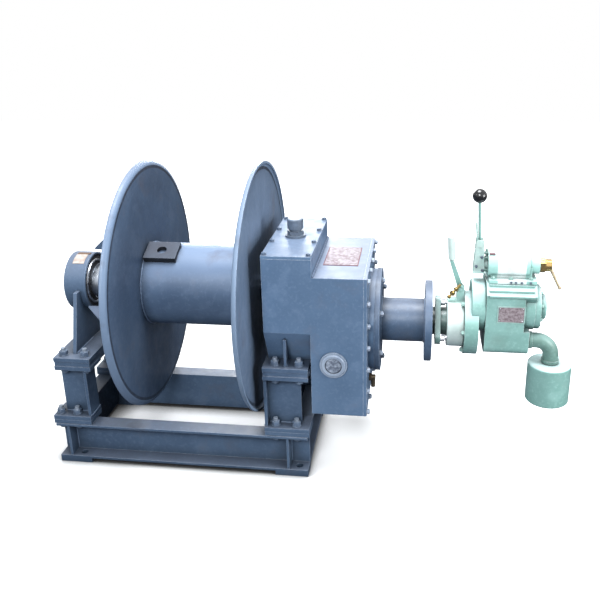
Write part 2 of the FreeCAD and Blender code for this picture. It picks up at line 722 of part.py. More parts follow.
# Brake lever: forged arm with a hub, and its grip
def brake_lever():
    h = BRK_ARM_T / 2.0
    hub = cyl_y(BRK_PIVOT_X, -h, h, BRK_PIVOT_Z, BRK_HUB_R)
    dx = BRK_KNEE_X - BRK_PIVOT_X
    dz = BRK_KNEE_Z - BRK_PIVOT_Z
    n = math.hypot(dx, dz)
    ax = dz / n
    az = -dx / n
    w0 = BRK_ARM_W0 / 2.0
    w1 = BRK_ARM_W1 / 2.0
    arm = prism_y([(BRK_PIVOT_X - ax * w0, BRK_PIVOT_Z - az * w0),
                   (BRK_PIVOT_X + ax * w0, BRK_PIVOT_Z + az * w0),
                   (BRK_KNEE_X + ax * w1, BRK_KNEE_Z + az * w1),
                   (BRK_KNEE_X - ax * w1, BRK_KNEE_Z - az * w1)], -h, h)
    gx = BRK_TOP_X - BRK_KNEE_X
    gz = BRK_TOP_Z - BRK_KNEE_Z
    m = math.hypot(gx, gz)
    tang = rod(BRK_KNEE_X, BRK_KNEE_Z, BRK_KNEE_X + gx * (1.0 - BRK_GRIP_SINK / m),
               BRK_KNEE_Z + gz * (1.0 - BRK_GRIP_SINK / m), w1)
    knee = cyl_y(BRK_KNEE_X, -h, h, BRK_KNEE_Z, w1)
    out = fuse(hub, arm, knee, tang)
    return out.cut(cyl_y(BRK_PIVOT_X, -h - 1.0, h + 1.0, BRK_PIVOT_Z, BRK_PIN_R + PIN_FIT))


def brake_grip():
    gx = BRK_TOP_X - BRK_KNEE_X
    gz = BRK_TOP_Z - BRK_KNEE_Z
    m = math.hypot(gx, gz)
    x0 = BRK_KNEE_X + gx / m * BRK_GRIP_SINK
    z0 = BRK_KNEE_Z + gz / m * BRK_GRIP_SINK
    grip = rod(x0, z0, BRK_TOP_X, BRK_TOP_Z, BRK_GRIP_R)
    ends = [e for e in grip.Edges if abs(e.Length - 2 * math.pi * BRK_GRIP_R) < 1.0]
    grip = grip.makeFillet(BRK_GRIP_ROUND, ends)
    tang = rod(BRK_KNEE_X, BRK_KNEE_Z, BRK_KNEE_X + gx * (1.0 - BRK_GRIP_SINK / m),
               BRK_KNEE_Z + gz * (1.0 - BRK_GRIP_SINK / m), BRK_ARM_W1 / 2.0)
    return grip.cut(tang)


keep("coupling_flange", coupling_flange())
keep("brake_housing", brake_housing())
keep("brake_lever", brake_lever())
keep("brake_grip", brake_grip())

# Motor: round mounting flange, front cover, crankcase and end cover
MF_X1 = BRAKE_X1 + MFLANGE_T


def motor_mount_flange():
    out = cyl_x(BRAKE_X1, MF_X1, 0.0, IN_Z, MFLANGE_R)
    return out.cut(cyl_x(BRAKE_X1 - 1.0, MF_X1 + 1.0, 0.0, IN_Z, MFLANGE_BORE))


def motor_front_cover():
    out = cyl_x(FRONT_X0, FRONT_X1, 0.0, MOTOR_Z, FRONT_R)
    edges = [e for e in out.Edges if abs(e.Length - 2 * math.pi * FRONT_R) < 1.0]
    out = out.makeFillet(4.0, edges)
    return out.cut(cyl_x(FRONT_X0 - 1.0, MF_X1, 0.0, IN_Z, MFLANGE_R))


def motor_body():
    hw = BODY_HALF_Y
    ww = BODY_WAIST_Y
    profile = [(-hw, BODY_SUMP_Z), (-ww, BODY_BOTTOM), (ww, BODY_BOTTOM), (hw, BODY_SUMP_Z),
               (hw, BODY_SHOULDER_Z), (TOPPLATE_HALF_Y - 4.0, BODY_TOP), (-TOPPLATE_HALF_Y + 4.0, BODY_TOP),
               (-hw, BODY_SHOULDER_Z)]
    out = prism_x(profile, FRONT_X1, BOX_X1)
    sump = prism_x([(-hw, BODY_SUMP_Z), (-ww, BODY_BOTTOM), (ww, BODY_BOTTOM), (hw, BODY_SUMP_Z)],
                   BOX_X1, SUMP_X1)
    out = fuse(out, sump)
    edges = [e for e in out.Edges if e.CenterOfMass.z < BODY_BOTTOM + 1.0
             and abs(e.Length - (SUMP_X1 - FRONT_X1)) < 0.01]
    out = out.makeFillet(BODY_CORNER, edges)
    shapes = [cyl_x(BOX_X1, BODY_X1, 0.0, MOTOR_Z, BODY_ROUND_R)]
    shapes.append(prism_x([(-BODY_NECK_HALF, BODY_NECK_Z), (BODY_NECK_HALF, BODY_NECK_Z),
                           (hw, BODY_EAVE_Z), (hw, BODY_SHOULDER_Z), (TOPPLATE_HALF_Y - 4.0, BODY_TOP),
                           (-TOPPLATE_HALF_Y + 4.0, BODY_TOP), (-hw, BODY_SHOULDER_Z),
                           (-hw, BODY_EAVE_Z)], BOX_X1, BODY_X1))
    lean = (hw - TOPPLATE_HALF_Y + 4.0) / (BODY_TOP - BODY_SHOULDER_Z)
    for k in range(RIB_N):
        z = BODY_TOP - RIB_DROP - RIB_PITCH * k
        yr = min(hw, TOPPLATE_HALF_Y - 4.0 + (BODY_TOP - z) * lean) + RIB_OUT
        shapes.append(box(FRONT_X1 + 10.0, BODY_X1 - 10.0, -yr, yr, z - RIB_H / 2, z + RIB_H / 2))
    out = fuse(out, *shapes)
    w = BODY_WALL
    cave = prism_x([(-ww + w, BODY_BOTTOM + w), (ww - w, BODY_BOTTOM + w), (hw - w, BODY_SUMP_Z),
                    (hw - w, BODY_SHOULDER_Z - w), (TOPPLATE_HALF_Y - 2 * w, BODY_TOP - w),
                    (-TOPPLATE_HALF_Y + 2 * w, BODY_TOP - w), (-hw + w, BODY_SHOULDER_Z - w),
                    (-hw + w, BODY_SUMP_Z)], FRONT_X1 + w, BOX_X1 - w)
    return out.cut(cave)


def motor_end_cover():
    return cyl_x(BODY_X1, BODY_X1 + END_T, 0.0, MOTOR_Z, END_R)


def motor_hub_cap():
    x0 = BODY_X1 + END_T
    out = cyl_x(x0, x0 + HUBCAP_T, 0.0, MOTOR_Z, HUBCAP_R)
    edges = [e for e in out.Edges if e.CenterOfMass.x > x0 + HUBCAP_T - 1.0]
    return out.makeFillet(6.0, edges)


# Valve chest: base plate, saddle and stepped cylinder
def valve_block():
    z0 = BODY_TOP
    plate = box(FRONT_X1 + 8.0, BODY_X1, -TOPPLATE_HALF_Y, TOPPLATE_HALF_Y, z0, z0 + TOPPLATE_T)
    saddle = box(VALVE_X0 + 12.0, VALVE_X1 + 10.0, -SADDLE_HALF_Y, SADDLE_HALF_Y,
                 z0 + TOPPLATE_T, VALVE_Z)
    body = cyl_x(VALVE_X0, VALVE_X1, 0.0, VALVE_Z, VALVE_R)
    neck = cyl_x(VALVE_X1, VALVE_NECK_X1, 0.0, VALVE_Z, VALVE_NECK_R)
    out = fuse(body, plate, saddle, neck)
    return out.cut(cyl_x(VALVE_X0 + 12.0, VALVE_X1 - 4.0, 0.0, VALVE_Z, VALVE_R - VALVE_WALL))


LEVER_X = LEVER_BOX_X0 + LEVER_BOX_W / 2.0


# The lever rests a little off the upright
def leaned(shape):
    shape.rotate(V(LEVER_X, 0.0, LEVER_PIVOT_Z), V(0, 1, 0), LEVER_LEAN)
    return shape


# Housing of the control lever: tapered block ending in a fork
def lever_housing():
    x0 = LEVER_BOX_X0
    x1 = x0 + LEVER_BOX_W
    hy = LEVER_BOX_HALF_Y
    ht = LEVER_TOP_W / 2.0
    floor = LEVER_PIVOT_Z - LEVER_HUB_R - LEVER_FLOOR_GAP
    out = prism_y([(x0, LEVER_BOX_Z0), (x1, LEVER_BOX_Z0), (LEVER_X + ht, LEVER_BOX_Z1),
                   (LEVER_X - ht, LEVER_BOX_Z1)], -hy, hy)
    out = out.cut(box(x0 - 1.0, x1 + 1.0, -LEVER_SLOT_HALF, LEVER_SLOT_HALF, floor, LEVER_BOX_Z1 + 1.0))
    pin = cyl_y(LEVER_X, -hy - 3.0, hy + 3.0, LEVER_PIVOT_Z, LEVER_PIN_R)
    link = cyl_x(LEVER_X, VALVE_X0, 0.0, VALVE_Z, LEVER_LINK_R)
    return fuse(out, pin, link)


def control_lever():
    h = LEVER_SLOT_HALF - LEVER_SIDE_GAP
    hub = cyl_y(LEVER_X, -h, h, LEVER_PIVOT_Z, LEVER_HUB_R)
    arm = cyl_z(LEVER_X, 0.0, LEVER_PIVOT_Z, KNOB_Z - KNOB_R + KNOB_BORE_L, LEVER_ROD_R)
    out = fuse(hub, arm)
    out = out.cut(cyl_y(LEVER_X, -LEVER_BOX_HALF_Y, LEVER_BOX_HALF_Y, LEVER_PIVOT_Z,
                        LEVER_PIN_R + PIN_FIT))
    return leaned(out)


def control_knob():
    ball = Part.makeSphere(KNOB_R, V(LEVER_X, 0.0, KNOB_Z))
    bore = cyl_z(LEVER_X, 0.0, KNOB_Z - KNOB_R - 5.0, KNOB_Z - KNOB_R + KNOB_BORE_L, LEVER_ROD_R)
    return leaned(ball.cut(bore))


# Inlet fitting at the end of the valve chest
def inlet_fitting():
    x0 = VALVE_NECK_X1
    nut = hexagon_x(x0, x0 + INLET_NUT_L, 0.0, VALVE_Z, 2.0 * INLET_R)
    stub = cyl_x(x0 + INLET_NUT_L, x0 + INLET_L, 0.0, VALVE_Z, INLET_R - 3.0)
    out = fuse(nut, stub)
    return out.cut(cyl_x(x0 + 6.0, x0 + INLET_L + 1.0, 0.0, VALVE_Z, INLET_BORE))


# Exhaust elbow and muffler
EXH_X0 = SUMP_X1
EXH_XA = EXH_X0 + EXH_NECK_L
MUF_X = EXH_XA + EXH_BEND


def elbow_solid(r, x0, z_end):
    zc = EXH_Z - EXH_BEND
    straight = cyl_x(x0, EXH_XA, EXH_Y, EXH_Z, r)
    circle = Part.makeCircle(r, V(EXH_XA, EXH_Y, EXH_Z), V(1, 0, 0))
    face = Part.Face(Part.Wire([circle]))
    bend = face.revolve(V(EXH_XA, EXH_Y, zc), V(0, 1, 0), 90)
    down = cyl_z(MUF_X, EXH_Y, z_end, zc, r)
    return fuse(straight, bend, down)


def exhaust_elbow():
    outer = elbow_solid(EXH_R, EXH_X0, MUF_TOP)
    collar = cyl_z(MUF_X, EXH_Y, MUF_TOP + 4.0, MUF_TOP + 4.0 + EXH_COLLAR_T, EXH_R + EXH_COLLAR_OUT)
    ring = cyl_x(EXH_X0 + 3.0, EXH_X0 + 3.0 + EXH_COLLAR_T, EXH_Y, EXH_Z, EXH_R + EXH_COLLAR_OUT)
    outer = fuse(outer, collar, ring)
    return outer.cut(elbow_solid(EXH_R - EXH_WALL, EXH_X0 + 6.0, MUF_TOP - 1.0))


def exhaust_muffler():
    z0 = MUF_TOP - MUF_H
    out = cyl_z(MUF_X, EXH_Y, z0, MUF_TOP, MUF_R)
    edges = [e for e in out.Edges if abs(e.Length - 2 * math.pi * MUF_R) < 1.0]
    out = out.makeFillet(MUF_ROUND, edges)
    return out.cut(cyl_z(MUF_X, EXH_Y, z0 + MUF_WALL, MUF_TOP - MUF_WALL, MUF_R - MUF_WALL))


keep("motor_mount_flange", motor_mount_flange())
keep("motor_front_cover", motor_front_cover())
keep("motor_body", motor_body())
keep("motor_end_cover", motor_end_cover())
keep("motor_hub_cap", motor_hub_cap())
keep("valve_block", valve_block())
keep("lever_housing", lever_housing())
keep("control_lever", control_lever())
keep("control_knob", control_knob())
keep("inlet_fitting", inlet_fitting())
keep("exhaust_elbow", exhaust_elbow())
keep("exhaust_muffler", exhaust_muffler())

# Write one STEP file per node
for name, shape in NODES.items():
    if shape.ShapeType == "Compound" and len(shape.Solids) == 1:
        shape = shape.Solids[0]
    shape.exportStep("parts/" + name + ".step")
    b = shape.BoundBox
    print("%-20s solids %d valid %s vol %8.0f cm3  x %.0f %.0f  y %.0f %.0f  z %.0f %.0f" % (
        name, len(shape.Solids), shape.isValid(), shape.Volume / 1000.0,
        b.XMin, b.XMax, b.YMin, b.YMax, b.ZMin, b.ZMax))
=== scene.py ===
# %% [markdown]
# # A pilot ladder winch, dressed for its portrait
# A heavy drum hangs between a bearing and a gearbox, and an air motor drives it.
# The solid parts come ready from the CAD model, all in one shared frame in metres.
# Here we only add what a modeller adds last: bolts, welds, bare plates, small
# fittings, paint, light and a camera.

# %% Load the frame and note its box
import bpy
import bmesh
import math
from mathutils import Vector, Matrix


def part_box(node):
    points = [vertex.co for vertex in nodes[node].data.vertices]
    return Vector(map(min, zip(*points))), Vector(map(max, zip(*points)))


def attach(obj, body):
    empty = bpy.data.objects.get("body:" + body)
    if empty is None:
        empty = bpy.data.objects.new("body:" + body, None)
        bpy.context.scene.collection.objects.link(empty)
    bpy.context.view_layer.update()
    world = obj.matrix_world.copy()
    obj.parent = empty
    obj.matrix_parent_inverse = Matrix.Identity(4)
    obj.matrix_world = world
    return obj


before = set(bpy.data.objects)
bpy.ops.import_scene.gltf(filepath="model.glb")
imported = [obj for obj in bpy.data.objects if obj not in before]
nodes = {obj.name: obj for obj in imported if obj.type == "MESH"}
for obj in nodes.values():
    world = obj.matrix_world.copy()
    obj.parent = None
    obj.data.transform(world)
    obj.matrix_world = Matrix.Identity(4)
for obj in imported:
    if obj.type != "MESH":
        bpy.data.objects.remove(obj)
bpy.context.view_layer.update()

# %% [markdown]
# ## Camera
# The photograph was taken from the front right, a little above the machine.
# A camera can be aimed at a target and nudged by eye. Here its place came from
# matching many edges of the winch, which is closer, so the numbers below are a
# position, three angles, and a lens with a small shift. A shift moves the
# picture without turning the camera.

# %% Camera
VIEW_PLACE = Vector((0.90433, -2.73003, 1.81477))
YAW, PITCH, ROLL = math.radians(7.916), math.radians(19.470), math.radians(-1.0707)
ahead = Vector((-math.sin(YAW) * math.cos(PITCH), math.cos(YAW) * math.cos(PITCH), -math.sin(PITCH)))
level = Vector((math.cos(YAW), math.sin(YAW), 0.0))
above = level.cross(ahead)
across = level * math.cos(ROLL) + above * math.sin(ROLL)
upward = -level * math.sin(ROLL) + above * math.cos(ROLL)

camera_data = bpy.data.cameras.new("camera")
camera_data.sensor_width = 36.0
camera_data.lens = 43.62
camera_data.shift_x = -0.03133
camera_data.shift_y = -0.06630
camera_data.clip_end = 60.0
camera = bpy.data.objects.new("camera", camera_data)
turn = Matrix((across, upward, -ahead)).transposed().to_4x4()
camera.matrix_world = Matrix.Translation(VIEW_PLACE) @ turn
bpy.context.scene.collection.objects.link(camera)
bpy.context.scene.camera = camera
print("camera at", [round(v, 2) for v in VIEW_PLACE])

# %% [markdown]
# ## Helpers for node trees
# World, floor, paints and geometry trees are all built from the same small
# steps: place a node and set its inputs, do a sum, stretch one range of values
# onto another, and mix two surfaces into the output.


# %% Place nodes, sums and ranges
def shader(tree, kind, **values):
    node = tree.nodes.new(kind)
    for key, value in values.items():
        if hasattr(node, key):
            setattr(node, key, value)
        else:
            node.inputs[key.replace("_", " ")].default_value = value
    return node


def maths(tree, operation, a, b):
    node = shader(tree, "ShaderNodeMath", operation=operation)
    for value, socket in ((a, node.inputs[0]), (b, node.inputs[1])):
        if isinstance(value, bpy.types.NodeSocket):
            tree.links.new(value, socket)
        else:
            socket.default_value = value
    return node.outputs[0]


def ranged(tree, value, low, high, to_low=0.0, to_high=1.0):
    ramp = shader(tree, "ShaderNodeMapRange", From_Min=low, From_Max=high, To_Min=to_low, To_Max=to_high)
    tree.links.new(value, ramp.inputs["Value"])
    return ramp.outputs["Result"]


def mix_surfaces(tree, share, under, over, kind):
    mix = shader(tree, "ShaderNodeMixShader")
    tree.links.new(share, mix.inputs[0])
    tree.links.new(under.outputs[0], mix.inputs[1])
    tree.links.new(over.outputs[0], mix.inputs[2])
    tree.links.new(mix.outputs[0], shader(tree, kind).inputs["Surface"])


def empty_material(name):
    material = bpy.data.materials.new(name)
    material.use_nodes = True
    material.node_tree.nodes.clear()
    return material, material.node_tree


print("node helpers ready")

# %% [markdown]
# ## Light and floor
# One wide lamp above makes the tops bright. Weaker ones in front, at both ends
# and behind fill the sides, and the undersides stay dark.
# The background is white only for the camera, in reflections and through glass,
# by the Light Path node, so that it puts no extra light on the paint. The floor
# works the same way: the camera sees it pale, all other rays meet a dull one.
# It darkens close to the machine, which gives the contact shadow.

# %% World
scene = bpy.context.scene
scene.view_settings.view_transform = "Standard"
world = bpy.data.worlds.new("soft studio")
scene.world = world
world.use_nodes = True
wt = world.node_tree
wt.nodes.clear()
seen = shader(wt, "ShaderNodeBackground", Color=(1.0, 1.0, 1.0, 1.0), Strength=1.0)
lighting = shader(wt, "ShaderNodeBackground", Color=(0.80, 0.90, 1.0, 1.0), Strength=0.035)
rays = shader(wt, "ShaderNodeLightPath").outputs
white_for = maths(wt, "MAXIMUM", rays["Is Camera Ray"], rays["Is Transmission Ray"])
white_for = maths(wt, "MAXIMUM", white_for, rays["Is Glossy Ray"])
mix_surfaces(wt, white_for, lighting, seen, "ShaderNodeOutputWorld")
print("world lights the paint at", lighting.inputs["Strength"].default_value)


# %% Lamps
def soft_lamp(name, place, target, size, power, colour):
    data = bpy.data.lights.new(name, "AREA")
    data.shape = "DISK"
    data.size = size
    data.energy = power
    data.color = colour
    lamp = bpy.data.objects.new(name, data)
    lamp.location = place
    lamp.rotation_euler = (Vector(target) - Vector(place)).to_track_quat("-Z", "Y").to_euler()
    scene.collection.objects.link(lamp)


COOL, NEUTRAL = (0.96, 0.98, 1.0), (0.97, 0.99, 1.0)
soft_lamp("overhead lamp", (0.6, 0.2, 4.4), (0.4, 0.0, 0.5), 2.4, 275.0, COOL)
soft_lamp("front lamp", (0.1, -4.2, 3.3), (0.4, 0.0, 0.6), 1.8, 215.0, COOL)
soft_lamp("right lamp", (3.3, -1.0, 1.3), (0.9, 0.0, 0.6), 1.2, 56.0, NEUTRAL)
soft_lamp("left lamp", (-2.8, -2.0, 3.2), (0.3, 0.0, 0.7), 1.4, 24.0, NEUTRAL)
soft_lamp("back lamp", (-0.6, 4.4, 2.0), (0.4, 0.0, 0.6), 2.0, 95.0, NEUTRAL)
print("five lamps")

# %% Floor
floor_mesh = bpy.data.meshes.new("floor")
floor_mesh.from_pydata([(-9, -9, 0), (10, -9, 0), (10, 9, 0), (-9, 9, 0)], [], [(0, 1, 2, 3)])
floor = bpy.data.objects.new("floor", floor_mesh)
scene.collection.objects.link(floor)
floor_paint, ft = empty_material("pale floor")
plain = shader(ft, "ShaderNodeBsdfDiffuse")
dull = shader(ft, "ShaderNodeBsdfDiffuse", Color=(0.09, 0.10, 0.12, 1.0))
glow = shader(ft, "ShaderNodeEmission", Color=(1.0, 1.0, 1.0, 1.0))
far_off = shader(ft, "ShaderNodeVectorMath", operation="LENGTH")
ft.links.new(shader(ft, "ShaderNodeTexCoord").outputs["Object"], far_off.inputs[0])
fade = ranged(ft, far_off.outputs["Value"], 0.9, 2.6, 0.32, 1.0)
near = shader(ft, "ShaderNodeAmbientOcclusion", samples=12, Distance=0.12)
open_sky = ranged(ft, near.outputs["AO"], 0.30, 0.92, 0.03, 1.0)
tone = shader(ft, "ShaderNodeVectorMath", operation="SCALE")
tone.inputs[0].default_value = (0.86, 0.87, 0.88)
ft.links.new(open_sky, tone.inputs["Scale"])
ft.links.new(tone.outputs[0], plain.inputs["Color"])
for_camera = shader(ft, "ShaderNodeLightPath").outputs["Is Camera Ray"]
glow_share = maths(ft, "MULTIPLY", for_camera, maths(ft, "MULTIPLY", fade, open_sky))
ft.links.new(glow_share, glow.inputs["Strength"])
pale = shader(ft, "ShaderNodeAddShader")
ft.links.new(plain.outputs[0], pale.inputs[0])
ft.links.new(glow.outputs[0], pale.inputs[1])
mix_surfaces(ft, for_camera, dull, pale, "ShaderNodeOutputMaterial")
floor_mesh.materials.append(floor_paint)
print("floor is", floor_paint.name)

# %% [markdown]
# ## Paint
# Nearly everything is brushed paint over steel. A flat colour looks like
# plastic, so each paint is built from the same few layers: a wide cloud of
# lighter and darker patches, dust and a painted highlight on what faces up, fine
# speckle, grime, worn edges lightened further as a painted highlight, and
# painted shade in the hollows and corners. The edges come from the Bevel node,
# which compares a rounded normal with the true one, and the hollows from the
# Ambient Occlusion node. A zone gives a stretch along an axis, or a ring about
# the drum's axis, a colour of its own; several zones below are painted light or
# shade. A painted image could do the same, but it would need unwrapping, and
# these layers read the place on the part instead.


# %% Clouds and colour mixes
def clouds(tree, place, scale, detail, low, high):
    noise = shader(tree, "ShaderNodeTexNoise", Scale=scale, Detail=detail, Roughness=0.6)
    tree.links.new(place.outputs["Object"], noise.inputs["Vector"])
    return ranged(tree, noise.outputs["Fac"], low, high)


def blend_colour(tree, mask, under, over):
    mix = shader(tree, "ShaderNodeMix", data_type="RGBA")
    tree.links.new(mask, mix.inputs[0])
    for value, socket in ((under, mix.inputs[6]), (over, mix.inputs[7])):
        if isinstance(value, bpy.types.NodeSocket):
            tree.links.new(value, socket)
        else:
            socket.default_value = (*value, 1.0)
    return mix.outputs[2]


def share_of(tree, mask, share):
    return maths(tree, "MULTIPLY", mask, share)


print("clouds and mixes ready")


# %% Masks and bump
def edge_mask(tree, radius):
    soft = shader(tree, "ShaderNodeBevel", samples=4, Radius=radius)
    true = shader(tree, "ShaderNodeNewGeometry")
    dot = shader(tree, "ShaderNodeVectorMath", operation="DOT_PRODUCT")
    tree.links.new(soft.outputs["Normal"], dot.inputs[0])
    tree.links.new(true.outputs["True Normal"], dot.inputs[1])
    return ranged(tree, dot.outputs["Value"], 0.985, 0.78), soft.outputs["Normal"]


def fine_bump(tree, place, scale, strength, distance, normal):
    noise = shader(tree, "ShaderNodeTexNoise", Scale=scale, Detail=3.0)
    tree.links.new(place.outputs["Object"], noise.inputs["Vector"])
    bump = shader(tree, "ShaderNodeBump", Strength=strength, Distance=distance)
    tree.links.new(noise.outputs["Fac"], bump.inputs["Height"])
    tree.links.new(normal, bump.inputs["Normal"])
    return bump.outputs["Normal"]


# Painted shade: this mask rises where the Ambient Occlusion node finds other surfaces near, in hollows and
# corners.
def painted_shade_mask(tree, reach):
    corner = shader(tree, "ShaderNodeAmbientOcclusion", samples=6, Distance=reach)
    return ranged(tree, corner.outputs["AO"], 0.84, 0.42)


# Faces turned up, which get dust and a painted highlight.
def top_mask(tree):
    split = shader(tree, "ShaderNodeSeparateXYZ")
    tree.links.new(shader(tree, "ShaderNodeNewGeometry").outputs["Normal"], split.inputs[0])
    return ranged(tree, split.outputs["Z"], 0.35, 1.0)


DRUM_AXIS_Z = 0.723
ZONE_BLUR = 0.0012


def distance_from(tree, place, keep, centre):
    flat = shader(tree, "ShaderNodeVectorMath", operation="MULTIPLY")
    flat.inputs[1].default_value = keep
    tree.links.new(place.outputs["Object"], flat.inputs[0])
    away = shader(tree, "ShaderNodeVectorMath", operation="DISTANCE")
    away.inputs[1].default_value = centre
    tree.links.new(flat.outputs[0], away.inputs[0])
    return away.outputs["Value"]


def zone_mask(tree, place, axis, low, high):
    if axis == "round":
        where = distance_from(tree, place, (0.0, 1.0, 1.0), (0.0, 0.0, DRUM_AXIS_Z))
    else:
        split = shader(tree, "ShaderNodeSeparateXYZ")
        tree.links.new(place.outputs["Object"], split.inputs[0])
        where = split.outputs[axis]
    begins = ranged(tree, where, low - ZONE_BLUR, low + ZONE_BLUR)
    ends = ranged(tree, where, high + ZONE_BLUR, high - ZONE_BLUR)
    return maths(tree, "MULTIPLY", begins, ends)


print("edge, hollow, top and zone masks ready")


# %% The paint recipe
# The edge colour is worn paint lightened as a painted highlight; the colour for what faces up is dust and a
# painted highlight; the reach and the depth set the painted shade in hollows and corners.
def paint(name, base, light, dark, grime, edge_wear_and_highlight, roughness, edge_wear_and_highlight_share=0.55, grime_share=0.5, edge=0.0028,
          dust_and_top_highlight=None, dust_and_top_highlight_share=0.55, shade_reach=0.03, depth=0.7, zones=()):
    material, tree = empty_material(name)
    skin = shader(tree, "ShaderNodeBsdfPrincipled", Specular_IOR_Level=0.4)
    place = shader(tree, "ShaderNodeTexCoord")

    def layer(under, mask, share, over):
        return blend_colour(tree, share_of(tree, mask, share), under, over)

    colour = blend_colour(tree, clouds(tree, place, 3.4, 4.0, 0.36, 0.66), dark, base)
    colour = layer(colour, clouds(tree, place, 13.0, 5.0, 0.52, 0.74), 0.5, light)
    for axis, low, high, other in zones:
        colour = blend_colour(tree, zone_mask(tree, place, axis, low, high), colour, other)
    if dust_and_top_highlight is not None:
        # Dust and a painted highlight on what faces up.
        colour = layer(colour, top_mask(tree), dust_and_top_highlight_share, dust_and_top_highlight)
    colour = layer(colour, clouds(tree, place, 75.0, 3.0, 0.52, 0.74), 0.36, light)
    colour = layer(colour, clouds(tree, place, 6.5, 8.0, 0.57, 0.76), grime_share, grime)
    # Worn edges, lightened further as a painted highlight.
    mask, rounded = edge_mask(tree, edge)
    worn_and_lit = maths(tree, "MULTIPLY", mask, clouds(tree, place, 45.0, 3.0, 0.25, 0.60))
    colour = layer(colour, worn_and_lit, edge_wear_and_highlight_share, edge_wear_and_highlight)
    # Painted shade: hollows and corners darken towards a dark copy of the base colour.
    colour = layer(colour, painted_shade_mask(tree, shade_reach), depth, tuple(0.18 * part for part in base))
    tree.links.new(colour, skin.inputs["Base Color"])
    sheen = clouds(tree, place, 21.0, 4.0, 0.3, 0.7)
    gloss = ranged(tree, sheen, 0.0, 1.0, roughness - 0.07, roughness + 0.12)
    tree.links.new(gloss, skin.inputs["Roughness"])
    tree.links.new(fine_bump(tree, place, 320.0, 0.16, 0.0012, rounded), skin.inputs["Normal"])
    tree.links.new(skin.outputs[0], shader(tree, "ShaderNodeOutputMaterial").inputs["Surface"])
    return material


print("paint recipe ready")

# %% Blue grey paints
# In the paints below, the colour for what faces up is dust and a painted highlight, and the edge colour is
# worn paint and a painted highlight.
gearbox_paint = paint("gearbox paint", (0.124, 0.202, 0.322), (0.185, 0.272, 0.412), (0.098, 0.164, 0.268),
                      (0.110, 0.120, 0.160), (0.66, 0.74, 0.90), 0.42, 0.85, 0.6, 0.0040,
                      dust_and_top_highlight=(0.245, 0.262, 0.315))
cover_paint = paint("top cover paint", (0.140, 0.240, 0.380), (0.200, 0.310, 0.470), (0.115, 0.195, 0.315),
                    (0.110, 0.120, 0.160), (0.66, 0.74, 0.90), 0.42, 0.85, 0.5, 0.0040,
                    dust_and_top_highlight=(0.150, 0.165, 0.215))
FRAME_COAT = dict(base=(0.092, 0.146, 0.232), light=(0.150, 0.215, 0.320), dark=(0.066, 0.108, 0.180),
                  grime=(0.070, 0.072, 0.092), edge_wear_and_highlight=(0.42, 0.50, 0.64), roughness=0.42, edge_wear_and_highlight_share=0.8,
                  grime_share=0.6, edge=0.0038, dust_and_top_highlight=(0.150, 0.165, 0.205), shade_reach=0.09, depth=0.8)
frame_paint = paint("frame paint", **FRAME_COAT)
# Every part of the left cross beam right of x = -0.49 m is painted near black: painted shadow, as it stands
# in shade under the drum.
shaded_beam_paint = paint("shaded beam paint", **FRAME_COAT, zones=(("X", -0.4900, 0.0, (0.020, 0.028, 0.045)),))
# A dark line at the foot of each rolled flange rim: painted shade where the roll meets the flat face.
RIM_FOOT_SHADE = ("round", 0.4760, 0.4880, (0.030, 0.042, 0.068))
# On the drum's flanges the ring beyond 0.488 m from the axis is lighter: a painted highlight on the rolled
# rim.
drum_paint = paint("drum paint", (0.089, 0.142, 0.230), (0.135, 0.190, 0.285), (0.066, 0.102, 0.168),
                   (0.080, 0.078, 0.100), (0.42, 0.50, 0.66), 0.42, 0.7, 0.6, 0.0034,
                   dust_and_top_highlight=(0.150, 0.170, 0.220), shade_reach=0.11, depth=0.85,
                   zones=(("round", 0.4880, 9.0, (0.160, 0.228, 0.340)), RIM_FOOT_SHADE))
# The right flange has the same paint as the left, drawn lighter as painted light, and its rim ring is a
# painted highlight too.
lit_flange_paint = paint("right flange paint with painted light", (0.178, 0.246, 0.362), (0.225, 0.298, 0.420),
                            (0.136, 0.194, 0.292), (0.100, 0.100, 0.125), (0.50, 0.58, 0.74), 0.42,
                            0.7, 0.6, 0.0034, dust_and_top_highlight=(0.200, 0.230, 0.290), shade_reach=0.11, depth=0.9,
                            zones=(("round", 0.4880, 9.0, (0.215, 0.300, 0.430)), RIM_FOOT_SHADE))
# The barrel's colour for what faces up is a pale blue: mostly a painted highlight along its top.
barrel_paint = paint("barrel paint", (0.090, 0.140, 0.226), (0.140, 0.200, 0.305), (0.066, 0.106, 0.178),
                     (0.080, 0.082, 0.108), (0.42, 0.50, 0.66), 0.40, 0.7, 0.6, 0.0034,
                     dust_and_top_highlight=(0.195, 0.265, 0.390), dust_and_top_highlight_share=0.85, shade_reach=0.06, depth=0.8)
# The ladder clamp is drawn near black as painted shade; only what faces up is a little lighter.
shaded_clamp_paint = paint("clamp paint with painted shade", (0.012, 0.014, 0.020), (0.030, 0.034, 0.045), (0.008, 0.009, 0.012),
                    (0.03, 0.03, 0.04), (0.34, 0.40, 0.50), 0.5, 0.8, 0.7, dust_and_top_highlight=(0.062, 0.078, 0.110),
                    dust_and_top_highlight_share=0.9)
print("blue grey paints:", gearbox_paint.name, frame_paint.name, drum_paint.name, barrel_paint.name)

# %% Mint paints
# The mint paint's colour for what faces up is near white: dust and, mostly, a painted highlight.
mint_paint = paint("mint paint", (0.285, 0.505, 0.465), (0.430, 0.690, 0.655), (0.205, 0.395, 0.355),
                   (0.150, 0.250, 0.215), (0.88, 1.0, 0.98), 0.33, 0.85, 0.7, 0.0038,
                   dust_and_top_highlight=(0.74, 0.95, 0.96), dust_and_top_highlight_share=0.85, shade_reach=0.045, depth=0.9)
